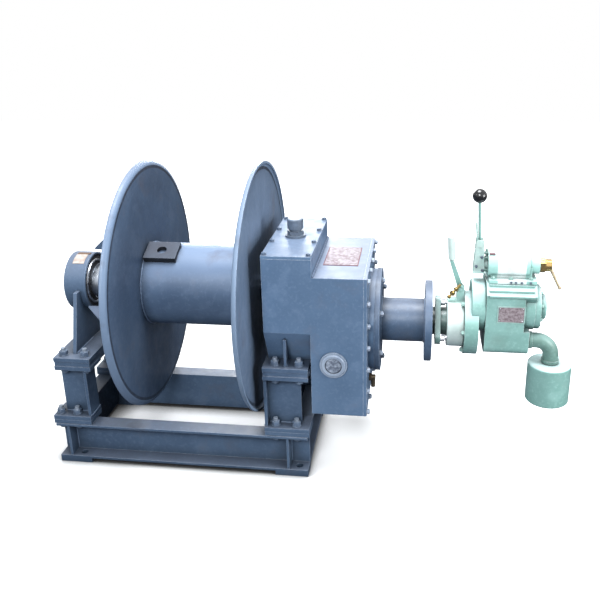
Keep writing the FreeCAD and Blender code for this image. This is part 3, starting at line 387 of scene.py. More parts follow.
# The coupling is a darker mint, and its spigot short of x = 0.9945 m near black: painted shade in the gap
# between the disc and the motor.
shaded_coupling_paint = paint("coupling paint with painted shade", (0.150, 0.250, 0.230), (0.34, 0.52, 0.49), (0.08, 0.15, 0.14),
                       (0.05, 0.08, 0.07), (0.84, 0.98, 0.96), 0.33, 0.85, 0.8, dust_and_top_highlight=(0.62, 0.80, 0.80),
                       shade_reach=0.05, depth=0.9, zones=(("X", 0.9, 0.9945, (0.010, 0.016, 0.018)),))
PALE, MINT_LIGHT = (0.72, 0.84, 0.81), (0.42, 0.70, 0.65)
clutch_paint = paint("clutch paint", PALE, (0.85, 0.93, 0.91), (0.62, 0.76, 0.72), (0.38, 0.50, 0.44),
                     (0.92, 0.98, 0.96), 0.34, 0.45, 0.40, zones=(("Z", 0.690, 9.0, MINT_LIGHT),))
valve_paint = paint("valve paint", MINT_LIGHT, (0.52, 0.80, 0.76), (0.34, 0.60, 0.55), (0.18, 0.29, 0.25),
                    (0.92, 0.98, 0.96), 0.34, 0.45, 0.40, dust_and_top_highlight=(0.66, 0.82, 0.82),
                    zones=(("X", 1.224, 1.331, (0.88, 0.96, 0.95)),))
housing_paint = paint("lever housing paint", (0.62, 0.80, 0.76), (0.80, 0.92, 0.89), (0.40, 0.58, 0.54),
                      (0.14, 0.22, 0.19), (0.94, 1.0, 0.98), 0.34, 0.8, 0.6)
# The exhaust elbow and the valve nipples take a darker copy of the mint: painted shade.
shaded_pipe_paint = paint("pipe paint with painted shade", (0.175, 0.305, 0.270), (0.29, 0.46, 0.42), (0.12, 0.22, 0.19),
                   (0.10, 0.16, 0.14), (0.80, 0.94, 0.91), 0.33, 0.8, 0.6,
                   dust_and_top_highlight=(0.34, 0.50, 0.48), shade_reach=0.05)
print("mint paints:", mint_paint.name, clutch_paint.name, valve_paint.name, shaded_pipe_paint.name)


# %% [markdown]
# ## Metals, rubber and glass
# Steel, brass, rubber, plastics and bare plates share one recipe: a stained
# colour, a roughness that follows the stain, and a fine grain. A zone can give
# one stretch its own colour; on the shaft that is painted shade. Most bolts and
# all welds are painted, so theirs use the paint recipe. The sight glass is a
# clear cover over a mottled pattern, partly oil and partly painted reflection,
# with a dark border round it. Real glass in front of a disc would do it too, but
# one glossy coat shows the same.

# %% Metal, plastic and glass recipes
def metal(name, base, dark, roughness, grain=0.25, metallic=1.0, mottle=24.0, zone=None):
    material, tree = empty_material(name)
    skin = shader(tree, "ShaderNodeBsdfPrincipled", Metallic=metallic)
    place = shader(tree, "ShaderNodeTexCoord")
    stain = clouds(tree, place, mottle, 5.0, 0.38, 0.70)
    colour = blend_colour(tree, stain, base, dark)
    if zone is not None:
        axis, low, high, other = zone
        colour = blend_colour(tree, zone_mask(tree, place, axis, low, high), colour, other)
    tree.links.new(colour, skin.inputs["Base Color"])
    gloss = ranged(tree, stain, 0.0, 1.0, roughness - 0.06, roughness + 0.14)
    tree.links.new(gloss, skin.inputs["Roughness"])
    rounded = edge_mask(tree, 0.0012)[1]
    tree.links.new(fine_bump(tree, place, 600.0, grain, 0.0006, rounded), skin.inputs["Normal"])
    tree.links.new(skin.outputs[0], shader(tree, "ShaderNodeOutputMaterial").inputs["Surface"])
    return material


bare_steel = metal("turned steel", (0.62, 0.64, 0.68), (0.40, 0.42, 0.46), 0.28)
# Beyond x = 0.28 m the shaft is drawn near black: painted shade in the gap between the right flange and the
# gearbox.
shaft_steel_with_painted_shade = metal("shaft steel with painted shade", (0.56, 0.61, 0.68), (0.32, 0.36, 0.42), 0.26,
                    zone=("X", 0.28, 9.0, (0.035, 0.045, 0.065)))
pale_bolt = paint("pale bolt paint", (0.400, 0.480, 0.600), (0.56, 0.64, 0.76), (0.24, 0.30, 0.40),
                  (0.05, 0.06, 0.08), (0.80, 0.86, 0.96), 0.34, 0.8, 0.5, 0.0014)
bolt_finish = paint("painted bolt steel", (0.160, 0.225, 0.330), (0.240, 0.310, 0.430), (0.075, 0.105, 0.160),
                    (0.035, 0.040, 0.050), (0.62, 0.72, 0.86), 0.34, 0.8, 0.75, 0.0014)
mint_bolt = paint("mint bolt paint", (0.400, 0.630, 0.580), (0.540, 0.760, 0.720), (0.260, 0.420, 0.380),
                  (0.10, 0.15, 0.13), (0.84, 0.96, 0.94), 0.34, 0.8, 0.6, 0.0010)
brass = metal("brass", (0.70, 0.49, 0.20), (0.36, 0.25, 0.10), 0.28)
old_brass = metal("old brass", (0.16, 0.12, 0.07), (0.06, 0.05, 0.04), 0.42, 0.3, 0.6)
pale_brass = metal("worn pale brass", (0.66, 0.55, 0.38), (0.26, 0.18, 0.11), 0.38, 0.3, 0.3, 90.0)
dark_metal = metal("dark painted steel", (0.135, 0.175, 0.235), (0.075, 0.095, 0.125), 0.40, 0.2, 0.1)
rubber = metal("seal rubber", (0.018, 0.018, 0.022), (0.040, 0.040, 0.045), 0.62, 0.5, 0.0)
knob_plastic = metal("knob plastic", (0.012, 0.012, 0.014), (0.020, 0.020, 0.022), 0.16, 0.06, 0.0)
grip_plastic = metal("grip plastic", (0.66, 0.80, 0.76), (0.52, 0.66, 0.61), 0.36, 0.3, 0.0)
plate_metal = metal("bare plate", (0.290, 0.265, 0.295), (0.150, 0.095, 0.110), 0.50, 0.3, 0.0, 70.0)
cream_plate = metal("cream bearing plate", (0.52, 0.46, 0.42), (0.32, 0.24, 0.20), 0.46, 0.3, 0.0, 60.0)
rust_edge = metal("rusty plate edge", (0.15, 0.085, 0.05), (0.06, 0.035, 0.025), 0.60, 0.5, 0.0, 60.0)
plate_frame = metal("plate edge", (0.19, 0.075, 0.095), (0.13, 0.05, 0.06), 0.50, 0.3, 0.0)
label_metal = metal("etched motor plate", (0.40, 0.35, 0.37), (0.15, 0.10, 0.12), 0.42, 0.4, 0.1, 95.0)
tip_steel = metal("bolt tip steel", (0.36, 0.42, 0.50), (0.20, 0.24, 0.30), 0.35, 0.3, 0.3)
weld_finish = paint("painted weld", (0.140, 0.200, 0.305), (0.20, 0.27, 0.385), (0.095, 0.140, 0.225),
                    (0.07, 0.07, 0.09), (0.32, 0.40, 0.52), 0.40, 0.3, 0.6)
print("metals:", bare_steel.name, brass.name, rubber.name)

# %% Sight glass
oil_glass, gt = empty_material("oil sight glass")
glass = shader(gt, "ShaderNodeBsdfPrincipled", Roughness=0.06, Coat_Weight=1.0, Coat_Roughness=0.03)
glass_place = shader(gt, "ShaderNodeTexCoord")
film = clouds(gt, glass_place, 75.0, 3.0, 0.40, 0.60)
# A mottled pattern: partly oil, partly painted reflection.
oil_and_painted_reflection = blend_colour(gt, film, (0.14, 0.17, 0.23), (0.40, 0.46, 0.56))
from_middle = distance_from(gt, glass_place, (1.0, 0.0, 1.0), (0.609, 0.0, 0.505))
border = ranged(gt, from_middle, 0.0290, 0.0305)
gt.links.new(blend_colour(gt, border, oil_and_painted_reflection, (0.030, 0.036, 0.050)), glass.inputs["Base Color"])
gt.links.new(glass.outputs[0], shader(gt, "ShaderNodeOutputMaterial").inputs["Surface"])
print("glass:", oil_glass.name)

# %% [markdown]
# ## Finish on the solid parts
# The CAD parts keep their shapes. Each gets one of the finishes above through
# its material slot, and what is not named in the table takes the frame's paint.
# Round faces are smoothed by the normals they came with.

# %% Give every CAD part its finish
FINISH = {
    gearbox_paint: ("gearbox_housing", "gearbox_end_cover"),
    cover_paint: ("gearbox_top_cover",),
    shaded_beam_paint: ("left_cross_beam",),
    drum_paint: ("drum_left_flange", "drum_hub"),
    lit_flange_paint: ("drum_right_flange",),
    barrel_paint: ("drum_barrel",),
    shaded_clamp_paint: ("ladder_clamp",),
    mint_paint: ("motor_mount_flange", "motor_front_cover", "motor_body", "motor_end_cover", "motor_hub_cap",
                 "control_lever", "brake_lever", "exhaust_muffler"),
    shaded_coupling_paint: ("coupling_flange",),
    clutch_paint: ("brake_housing",),
    valve_paint: ("valve_block",),
    housing_paint: ("lever_housing",),
    shaded_pipe_paint: ("exhaust_elbow",),
    shaft_steel_with_painted_shade: ("drum_shaft",),
    pale_bolt: ("sight_ring",),
    brass: ("inlet_fitting",),
    old_brass: ("drain_cock",),
    dark_metal: ("breather_cap",),
    rubber: ("bearing_seal",),
    knob_plastic: ("control_knob",),
    grip_plastic: ("brake_grip",),
    oil_glass: ("sight_glass",),
}
finish_of = {name: finish for finish, names in FINISH.items() for name in names}
for name, node in nodes.items():
    node.data.materials.clear()
    node.data.materials.append(finish_of.get(name, frame_paint))
print("finished", len(nodes), "CAD parts")

# %% [markdown]
# ## Bolts
# The machine holds together with more than a hundred bolts, nuts and screws.
# They could be copied by hand, but they differ only in size, paint, place and
# the way they face, so one Geometry Nodes tree makes them all.
# It takes a cloud of points, each with the direction it faces, and stands a
# washer, a hexagon head, a turned cap and a thread end on every point.
# Its sizes are named inputs, so one tree serves the large and the small ones.


# %% A helper for geometry trees
def named_tree(name, inputs):
    tree = bpy.data.node_groups.new(name, "GeometryNodeTree")
    tree.interface.new_socket(name="Geometry", in_out="INPUT", socket_type="NodeSocketGeometry")
    for label, kind, value in inputs:
        item = tree.interface.new_socket(name=label, in_out="INPUT", socket_type=kind)
        if value is not None:
            item.default_value = value
    tree.interface.new_socket(name="Geometry", in_out="OUTPUT", socket_type="NodeSocketGeometry")
    return tree, tree.nodes.new("NodeGroupInput"), tree.nodes.new("NodeGroupOutput")


print("tree helper ready")

# %% The bolt tree
bolt_tree, given, made = named_tree("bolts", [
    ("Across flats", "NodeSocketFloat", 0.030), ("Head height", "NodeSocketFloat", 0.013),
    ("Washer radius", "NodeSocketFloat", 0.020), ("Washer height", "NodeSocketFloat", 0.003),
    ("Thread radius", "NodeSocketFloat", 0.010), ("Thread length", "NodeSocketFloat", 0.0),
    ("Finish", "NodeSocketMaterial", None), ("Tip finish", "NodeSocketMaterial", None)])


def stack_cylinder(sides, radius, depth, base):
    body = bolt_tree.nodes.new("GeometryNodeMeshCylinder")
    body.inputs["Vertices"].default_value = sides
    bolt_tree.links.new(radius, body.inputs["Radius"])
    bolt_tree.links.new(depth, body.inputs["Depth"])
    lift = bolt_tree.nodes.new("ShaderNodeCombineXYZ")
    half = maths(bolt_tree, "MULTIPLY", depth, 0.5)
    bolt_tree.links.new(maths(bolt_tree, "ADD", base, half), lift.inputs["Z"])
    move = bolt_tree.nodes.new("GeometryNodeTransform")
    bolt_tree.links.new(body.outputs["Mesh"], move.inputs["Geometry"])
    bolt_tree.links.new(lift.outputs[0], move.inputs["Translation"])
    return move.outputs["Geometry"]


washer_h = given.outputs["Washer height"]
head_h = given.outputs["Head height"]
head_base = maths(bolt_tree, "MULTIPLY", washer_h, 0.98)
corner = maths(bolt_tree, "DIVIDE", given.outputs["Across flats"], math.sqrt(3.0))
cap_radius = maths(bolt_tree, "MULTIPLY", given.outputs["Across flats"], 0.46)
cap_height = maths(bolt_tree, "MULTIPLY", head_h, 0.10)
top = maths(bolt_tree, "ADD", head_base, head_h)
tip_mark = bolt_tree.nodes.new("GeometryNodeStoreNamedAttribute")
tip_mark.data_type = "BOOLEAN"
tip_mark.domain = "FACE"
tip_mark.inputs["Name"].default_value = "tip"
tip_mark.inputs["Value"].default_value = True
bolt_tree.links.new(stack_cylinder(12, given.outputs["Thread radius"], given.outputs["Thread length"], top),
                    tip_mark.inputs["Geometry"])
parts = [
    stack_cylinder(20, given.outputs["Washer radius"], washer_h, 0.0),
    stack_cylinder(6, corner, head_h, head_base),
    stack_cylinder(20, cap_radius, cap_height, maths(bolt_tree, "MULTIPLY", top, 0.995)),
    tip_mark.outputs["Geometry"],
]
join = bolt_tree.nodes.new("GeometryNodeJoinGeometry")
for part in parts:
    bolt_tree.links.new(part, join.inputs[0])
print("bolt tree has", len(bolt_tree.nodes), "nodes so far")

# %% Stand the bolt on each point
facing = bolt_tree.nodes.new("GeometryNodeInputNamedAttribute")
facing.data_type = "FLOAT_VECTOR"
facing.inputs["Name"].default_value = "facing"
align = bolt_tree.nodes.new("FunctionNodeAlignRotationToVector")
align.axis = "Z"
bolt_tree.links.new(facing.outputs["Attribute"], align.inputs["Vector"])
spin_value = bolt_tree.nodes.new("FunctionNodeRandomValue")
spin_value.data_type = "FLOAT"
spin_value.inputs[3].default_value = math.tau
spin_value.inputs["Seed"].default_value = 7
spin_axis = bolt_tree.nodes.new("ShaderNodeCombineXYZ")
bolt_tree.links.new(spin_value.outputs[1], spin_axis.inputs["Z"])
spin = bolt_tree.nodes.new("FunctionNodeEulerToRotation")
bolt_tree.links.new(spin_axis.outputs[0], spin.inputs[0])
twist = bolt_tree.nodes.new("FunctionNodeRotateRotation")
twist.rotation_space = "LOCAL"
bolt_tree.links.new(align.outputs[0], twist.inputs[0])
bolt_tree.links.new(spin.outputs[0], twist.inputs[1])
place_bolts = bolt_tree.nodes.new("GeometryNodeInstanceOnPoints")
bolt_tree.links.new(given.outputs["Geometry"], place_bolts.inputs["Points"])
bolt_tree.links.new(join.outputs[0], place_bolts.inputs["Instance"])
bolt_tree.links.new(twist.outputs[0], place_bolts.inputs["Rotation"])
realize = bolt_tree.nodes.new("GeometryNodeRealizeInstances")
bolt_tree.links.new(place_bolts.outputs[0], realize.inputs[0])
coat = bolt_tree.nodes.new("GeometryNodeSetMaterial")
bolt_tree.links.new(realize.outputs[0], coat.inputs["Geometry"])
bolt_tree.links.new(given.outputs["Finish"], coat.inputs["Material"])
is_tip = bolt_tree.nodes.new("GeometryNodeInputNamedAttribute")
is_tip.data_type = "BOOLEAN"
is_tip.inputs["Name"].default_value = "tip"
tip_coat = bolt_tree.nodes.new("GeometryNodeSetMaterial")
bolt_tree.links.new(coat.outputs[0], tip_coat.inputs["Geometry"])
bolt_tree.links.new(is_tip.outputs["Attribute"], tip_coat.inputs["Selection"])
bolt_tree.links.new(given.outputs["Tip finish"], tip_coat.inputs["Material"])
bolt_tree.links.new(tip_coat.outputs[0], made.inputs[0])
print("bolt tree done:", len(bolt_tree.nodes), "nodes")


# %% [markdown]
# ## From tree to plain mesh
# A modifier's input is set by the identifier of its socket. The evaluated
# object is then copied to a plain mesh, because the export drops anything
# that is still live. One more helper turns a list of places and directions
# into the points that the bolt tree reads.

# %% Run a tree and keep its result
def input_key(tree, label):
    for item in tree.interface.items_tree:
        if item.item_type == "SOCKET" and item.in_out == "INPUT" and item.name == label:
            return item.identifier
    raise KeyError(label)


def grow(name, source, tree, values, body):
    carrier = bpy.data.objects.new(name + "_carrier", source)
    scene.collection.objects.link(carrier)
    modifier = carrier.modifiers.new("grow", "NODES")
    modifier.node_group = tree
    for label, value in values.items():
        modifier[input_key(tree, label)] = value
    carrier.update_tag()
    bpy.context.view_layer.update()
    seen_now = carrier.evaluated_get(bpy.context.evaluated_depsgraph_get())
    mesh = bpy.data.meshes.new_from_object(seen_now)
    bpy.data.objects.remove(carrier)
    piece = bpy.data.objects.new(name, mesh)
    scene.collection.objects.link(piece)
    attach(piece, body)
    return piece


def bolts(name, spots, body, finish, flats, height, washer=None, thread=0.0,
          thread_radius=None, tip=None):
    mesh = bpy.data.meshes.new(name + "_points")
    mesh.from_pydata([(x / 1000.0, y / 1000.0, z / 1000.0) for (x, y, z), _ in spots], [], [])
    way = mesh.attributes.new("facing", "FLOAT_VECTOR", "POINT")
    for index, (_, direction) in enumerate(spots):
        way.data[index].vector = direction
    piece = grow(name, mesh, bolt_tree, {
        "Across flats": flats / 1000.0, "Head height": height / 1000.0,
        "Washer radius": (washer or flats * 0.66) / 1000.0, "Washer height": 0.003 if flats > 20 else 0.0015,
        "Thread radius": (thread_radius or flats * 0.30) / 1000.0,
        "Thread length": max(thread, 0.05) / 1000.0,
        "Finish": finish, "Tip finish": tip or finish}, body)
    print(name, len(spots), "bolts,", len(piece.data.polygons), "faces")


print("bolt helper ready")


# %% [markdown]
# ## Where the bolts are
# A bolt stands on a face, so most lists below read the height of that face
# from the boxes of the solid parts, in millimetres, and give only the places
# along it as numbers. All directions point out of the face the bolt stands on.

# %% Read the boxes in millimetres
def box_mm(name):
    low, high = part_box(name)
    return [v * 1000.0 for v in low], [v * 1000.0 for v in high]


UP, DOWN = (0, 0, 1), (0, 0, -1)
RIGHT, LEFT = (1, 0, 0), (-1, 0, 0)
FRONT = (0, -1, 0)
(beam_low, beam_high) = box_mm("front_beam")
(post_low, post_high) = box_mm("post_front_left")
PLATE, BEAM_FLANGE = 18.2, 10.5
SEAT_BOLT_Y, BASE_BOLT_Y, INNER_BOLT_Y, NUT_Y = 232.0, 237.0, 184.0, 238.0
print("post plates at z", round(post_low[2], 1), "to", round(post_high[2], 1))

# %% Structural bolts of the four posts
seat_top = post_high[2] + PLATE
under_top = post_high[2] - 2.0 * PLATE
base_top = post_low[2] + PLATE
under_beam = beam_high[2] - PLATE - BEAM_FLANGE
big, nuts = [], []
for side in (-1.0, 1.0):
    for x in (-497.0, -406.0, 377.0, 471.0):
        big.append(((x, side * SEAT_BOLT_Y, seat_top), UP))
        nuts.append(((x, side * NUT_Y, under_top), DOWN))
    for x_outer, x_inner in (((-541.0, -470.0), (-498.0, -438.0)), ((371.0, 456.0), (388.0, 444.0))):
        for x in x_outer:
            big.append(((x, side * BASE_BOLT_Y, base_top), UP))
            nuts.append(((x, side * BASE_BOLT_Y, under_beam), DOWN))
        for x in x_inner:
            big.append(((x, side * INNER_BOLT_Y, base_top), UP))
    nuts.append(((500.0, side * NUT_Y, seat_top - PLATE), DOWN))
bolts("frame_bolts", big, "base", bolt_finish, 30.0, 16.0, 18.5, 13.0, 9.5, tip_steel)
bolts("frame_nuts", nuts, "base", bolt_finish, 28.0, 13.0, 17.0, 5.0, 9.0, tip_steel)

# %% Gearbox cover bolts
(top_low, top_high) = box_mm("gearbox_top_cover")
(end_low, end_high) = box_mm("gearbox_end_cover")
(house_low, house_high) = box_mm("gearbox_housing")
END_COVER_T, TOP_INSET, END_INSET, ROW_Y = 13.0, 12.0, 14.0, 236.0
END_FACE = house_high[0] + END_COVER_T
cover_spots, end_spots = [], []
for x in (top_low[0] + TOP_INSET, top_high[0] - TOP_INSET):
    for y in (-237.0, -79.0, 79.0, 237.0):
        cover_spots.append(((x, y, top_high[2]), UP))
for step in range(5):
    y = ROW_Y * (0.5 * step - 1.0)
    end_spots.append(((END_FACE, y, end_high[2] - END_INSET), RIGHT))
    end_spots.append(((END_FACE, y, end_low[2] + END_INSET), RIGHT))
for side in (-1.0, 1.0):
    for step in range(1, 6):
        z = end_low[2] + END_INSET + (end_high[2] - end_low[2] - 2.0 * END_INSET) * step / 6.0
        end_spots.append(((END_FACE, side * ROW_Y, z), RIGHT))
bolts("top_cover_bolts", cover_spots, "base", bolt_finish, 17.0, 8.0, 11.0, 2.0)
bolts("end_cover_bolts", end_spots, "base", pale_bolt, 18.0, 9.0, 12.0, 2.0)


# %% Rings of bolts on round flanges
def ring(x, z, radius, count, start, direction, y=0.0):
    spots = []
    for k in range(count):
        a = math.radians(start + 360.0 * k / count)
        spots.append(((x, y + radius * math.cos(a), z + radius * math.sin(a)), direction))
    return spots


(flange_low, flange_high) = box_mm("input_flange")
INPUT_Z = 0.5 * (flange_low[2] + flange_high[2])
bolts("input_flange_bolts", ring(flange_high[0], INPUT_Z, 168.0, 6, 30.0, RIGHT), "base",
      pale_bolt, 19.0, 10.0, 13.0, 3.0)
(boss_low, boss_high) = box_mm("output_boss")
DRUM_Z = 0.5 * (boss_low[2] + boss_high[2])
(disc_low, disc_high) = box_mm("adapter_disc")
(hub_low, hub_high) = box_mm("drum_hub")

# %% Coupling studs
(mount_low, mount_high) = box_mm("motor_mount_flange")
COUPLING_GAP, COUPLING_T = 12.0, 22.0
coupling_face = disc_high[0] + COUPLING_GAP + COUPLING_T
bolts("coupling_bolts", ring(coupling_face, INPUT_Z, 82.0, 3, 90.0, RIGHT), "base",
      bare_steel, 24.0, 14.0, 16.0, 12.0, 8.0)
bolts("mount_bolts", ring(mount_low[0], INPUT_Z, 112.0, 6, 0.0, LEFT), "base",
      mint_bolt, 17.0, 9.0, 11.0, 3.0)

# %% Motor cover bolts
(body_low, body_high) = box_mm("motor_body")
(endcap_low, endcap_high) = box_mm("motor_end_cover")
MOTOR_Z = 0.5 * (endcap_low[2] + endcap_high[2])
motor_spots = ring(endcap_high[0], MOTOR_Z, 72.0, 8, 22.5, RIGHT)
VALVE_PLATE_T = 14.0
plate_top = body_high[2] + VALVE_PLATE_T
for x in (1208.0, 1274.0, 1350.0):
    for side in (-1.0, 1.0):
        motor_spots.append(((x, side * 58.0, plate_top), UP))
bolts("motor_bolts", motor_spots, "base", mint_bolt, 13.0, 7.0, 8.5, 2.0)
housing_spots = [((x, -24.0, z), FRONT) for x, z in ((1163.0, 880.0), (1144.0, 842.0), (1168.0, 826.0))]
bolts("lever_housing_screws", housing_spots, "base", dark_metal, 9.0, 4.0, 5.5, 1.5)
valve_z = plate_top - 0.5 * VALVE_PLATE_T
bolts("valve_screws", [((x, -72.0, valve_z), FRONT) for x in (1274.0, 1292.0, 1314.0, 1347.0)], "base",
      dark_metal, 7.0, 3.0, 4.5, 0.5)

# %% [markdown]
# ## Weld beads
# The frame, the drum and the gussets are welded. A bead follows a path and has
# a small ripple where each drop froze. A plain bevelled curve would be a smooth
# pipe, so a second tree turns any line of edges into a curve, gives it a radius
# that rises and falls, and skins it.

# %% The weld tree
weld_tree, seam, done = named_tree("weld bead", [
    ("Bead radius", "NodeSocketFloat", 0.004), ("Ripple length", "NodeSocketFloat", 0.007),
    ("Ripple depth", "NodeSocketFloat", 0.14), ("Finish", "NodeSocketMaterial", None)])
to_curve = weld_tree.nodes.new("GeometryNodeMeshToCurve")
weld_tree.links.new(seam.outputs["Geometry"], to_curve.inputs["Mesh"])
resample = weld_tree.nodes.new("GeometryNodeResampleCurve")
resample.mode = "LENGTH"
weld_tree.links.new(to_curve.outputs[0], resample.inputs["Curve"])
half_ripple = maths(weld_tree, "MULTIPLY", seam.outputs["Ripple length"], 0.5)
weld_tree.links.new(half_ripple, resample.inputs["Length"])
along = weld_tree.nodes.new("GeometryNodeSplineParameter")
turns = maths(weld_tree, "DIVIDE", along.outputs["Length"], seam.outputs["Ripple length"])
wave = maths(weld_tree, "SINE", maths(weld_tree, "MULTIPLY", turns, math.pi), 0.0)
swell = maths(weld_tree, "MULTIPLY", wave, seam.outputs["Ripple depth"])
radius_set = weld_tree.nodes.new("GeometryNodeSetCurveRadius")
weld_tree.links.new(resample.outputs[0], radius_set.inputs["Curve"])
weld_tree.links.new(maths(weld_tree, "ADD", swell, 1.0), radius_set.inputs["Radius"])
profile = weld_tree.nodes.new("GeometryNodeCurvePrimitiveCircle")
profile.inputs["Resolution"].default_value = 6
weld_tree.links.new(seam.outputs["Bead radius"], profile.inputs["Radius"])
sweep = weld_tree.nodes.new("GeometryNodeCurveToMesh")
weld_tree.links.new(radius_set.outputs[0], sweep.inputs["Curve"])
weld_tree.links.new(profile.outputs[0], sweep.inputs["Profile Curve"])
sweep.inputs["Fill Caps"].default_value = True
if "Scale" in sweep.inputs:
    bead_radius = weld_tree.nodes.new("GeometryNodeInputRadius")
    weld_tree.links.new(bead_radius.outputs[0], sweep.inputs["Scale"])
weld_coat = weld_tree.nodes.new("GeometryNodeSetMaterial")
weld_join = weld_tree.nodes.new("GeometryNodeRealizeInstances")
weld_tree.links.new(sweep.outputs[0], weld_join.inputs[0])
weld_tree.links.new(weld_join.outputs[0], weld_coat.inputs["Geometry"])
weld_tree.links.new(seam.outputs["Finish"], weld_coat.inputs["Material"])
weld_tree.links.new(weld_coat.outputs[0], done.inputs[0])
print("weld tree:", len(weld_tree.nodes), "nodes")


# %% Paths for the beads
def welds(name, lines, body, finish, radius):
    verts, edges = [], []
    for line, closed in lines:
        first = len(verts)
        verts += [(x / 1000.0, y / 1000.0, z / 1000.0) for x, y, z in line]
        edges += [(first + k, first + k + 1) for k in range(len(line) - 1)]
        if closed:
            edges.append((len(verts) - 1, first))
    mesh = bpy.data.meshes.new(name + "_paths")
    mesh.from_pydata(verts, edges, [])
    piece = grow(name, mesh, weld_tree, {
        "Bead radius": radius / 1000.0, "Ripple length": radius * 2.2 / 1000.0, "Finish": finish}, body)
    piece.data.shade_smooth()
    print(name, len(lines), "beads,", len(piece.data.polygons), "faces")


def circle_line(x, z, radius, steps=48):
    return ([(x, radius * math.cos(math.tau * k / steps), z + radius * math.sin(math.tau * k / steps))
             for k in range(steps)], True)


print("bead helper ready")


# %% Drum welds
(barrel_low, barrel_high) = box_mm("drum_barrel")
barrel_r = 0.5 * (barrel_high[2] - barrel_low[2])
HUB_R, GUSSET_REACH, GUSSET_END_X = 85.0, 358.0, -354.0
lines = [circle_line(barrel_low[0] + 1.0, DRUM_Z, barrel_r + 1.0),
         circle_line(barrel_high[0] - 1.0, DRUM_Z, barrel_r + 1.0),
         circle_line(hub_high[0] - 1.0, DRUM_Z, HUB_R)]
for k in range(3):
    a = math.radians(120.0 * k)
    for side in (-7.0, 7.0):
        def spoke(x, r):
            return (x, side * math.cos(a) - r * math.sin(a), DRUM_Z + side * math.sin(a) + r * math.cos(a))
        lines.append(([spoke(hub_high[0] - 1.5, 90.0), spoke(hub_high[0] - 1.5, GUSSET_REACH)], False))
        lines.append(([spoke(GUSSET_END_X, HUB_R), spoke(hub_high[0] - 6.0, HUB_R)], False))
welds("drum_welds", lines, "drum", weld_finish, 4.5)

# %% Frame, pedestal and adapter welds
WEB_Y, FOOT_Z, TUBE_R = 198.7, 486.0, 88.5


def seam_line(start, end):
    return ([start, end], False)


lines = []
for s in (-1.0, 1.0):
    for x in (beam_low[0] + 70.0, beam_high[0] - 70.0):
        lines.append(seam_line((x, s * WEB_Y, 24.0), (x, s * WEB_Y, 176.0)))
    rib_y = s * (WEB_Y + 9.0)
    for x in (-513.0, -501.0, 415.0, 427.0):
        lines.append(seam_line((x, rib_y, 34.0), (x, rib_y, 168.0)))
    for x in (-463.0, -447.0):
        lines.append(seam_line((x, s * 60.0, FOOT_Z), (x, s * 216.0, FOOT_Z)))
    for x0, x1, inner in ((-522.0, -418.0, -402.0), (344.0, 472.0, 329.0)):
        for z in (219.0, 429.5):
            lines.append(seam_line((inner, s * 174.0, z), (inner, s * 250.0, z)))
            lines.append(seam_line((x0, s * 217.8, z), (x1, s * 217.8, z)))
lines += [circle_line(flange_high[0] + 1.0, INPUT_Z, TUBE_R), circle_line(disc_low[0] - 1.0, INPUT_Z, TUBE_R)]
for s in (-1.0, 1.0):
    for x in (414.5, 425.5):
        lines.append(seam_line((x, s * 186.0, FOOT_Z), (x, s * 246.0, FOOT_Z)))
welds("frame_welds", lines, "base", weld_finish, 3.5)
step_foot = seam_line((531.0, -249.0, 860.0), (531.0, 249.0, 860.0))
welds("gearbox_weld", [step_foot], "base", weld_finish, 6.0)


# %% [markdown]
# ## Small shapes by hand
# What is left is one of a kind: bare plates, a bright ring, nipples, a thin
# handle and a brass screw. A tree would only be used once for each, so they are
# built straight as small solids, most with a bevel on their sharp edges.

# %% Boxes and rods with soft edges
def solid(name, build, finish, body="base", bevel=0.0, segments=2):
    mesh = bpy.data.meshes.new(name)
    work = bmesh.new()
    build(work)
    bmesh.ops.recalc_face_normals(work, faces=work.faces)
    if bevel > 0.0:
        sharp = [e for e in work.edges if len(e.link_faces) == 2 and e.calc_face_angle(0.0) > 0.5]
        bmesh.ops.bevel(work, geom=sharp, offset=bevel / 1000.0, segments=segments, affect="EDGES",
                        profile=0.6)
    work.to_mesh(mesh)
    work.free()
    mesh.materials.append(finish)
    piece = bpy.data.objects.new(name, mesh)
    scene.collection.objects.link(piece)
    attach(piece, body)
    print(name, len(mesh.polygons), "faces")


def add_block(work, x0, x1, y0, y1, z0, z1):
    middle = Vector((x0 + x1, y0 + y1, z0 + z1)) / 2000.0
    size = Matrix.Diagonal(Vector((x1 - x0, y1 - y0, z1 - z0, 1000.0)) / 1000.0)
    bmesh.ops.create_cube(work, size=1.0, matrix=Matrix.Translation(middle) @ size)


def add_rod(work, start, end, radius, sides=20, tip=None):
    a, b = Vector(start) / 1000.0, Vector(end) / 1000.0
    way = (b - a)
    turned = way.to_track_quat("Z", "Y").to_matrix().to_4x4()
    bmesh.ops.create_cone(work, cap_ends=True, segments=sides, radius1=radius / 1000.0,
                          radius2=(radius if tip is None else tip) / 1000.0, depth=way.length,
                          matrix=Matrix.Translation((a + b) / 2.0) @ turned)


print("hand tools ready")

# %% Bare plate on the gearbox
LOW_TOP = 859.5
solid("gearbox_plate_edge", lambda w: add_block(w, 556.0, 692.0, -110.0, 112.0, LOW_TOP, LOW_TOP + 1.6),
      plate_frame, bevel=0.5)
solid("gearbox_plate", lambda w: add_block(w, 560.0, 688.0, -106.0, 108.0, LOW_TOP + 1.0, LOW_TOP + 2.4),
      plate_metal, bevel=0.5)

# %% Bare plate on the motor and its raised edge
front_y = -104.0
solid("motor_plate_edge", lambda w: add_block(w, 1226.0, 1332.0, front_y - 1.5, front_y + 1.0, 641.0, 712.0),
      mint_bolt, bevel=0.6)
solid("motor_plate", lambda w: add_block(w, 1231.0, 1327.0, front_y - 2.6, front_y, 646.0, 707.0),
      label_metal, bevel=0.4)
rivets = [((x, front_y - 2.4, z), FRONT) for x in (1236.0, 1322.0) for z in (651.0, 702.0)]
bolts("motor_plate_rivets", rivets, "base", bare_steel, 4.5, 1.2, 2.6, 0.1)


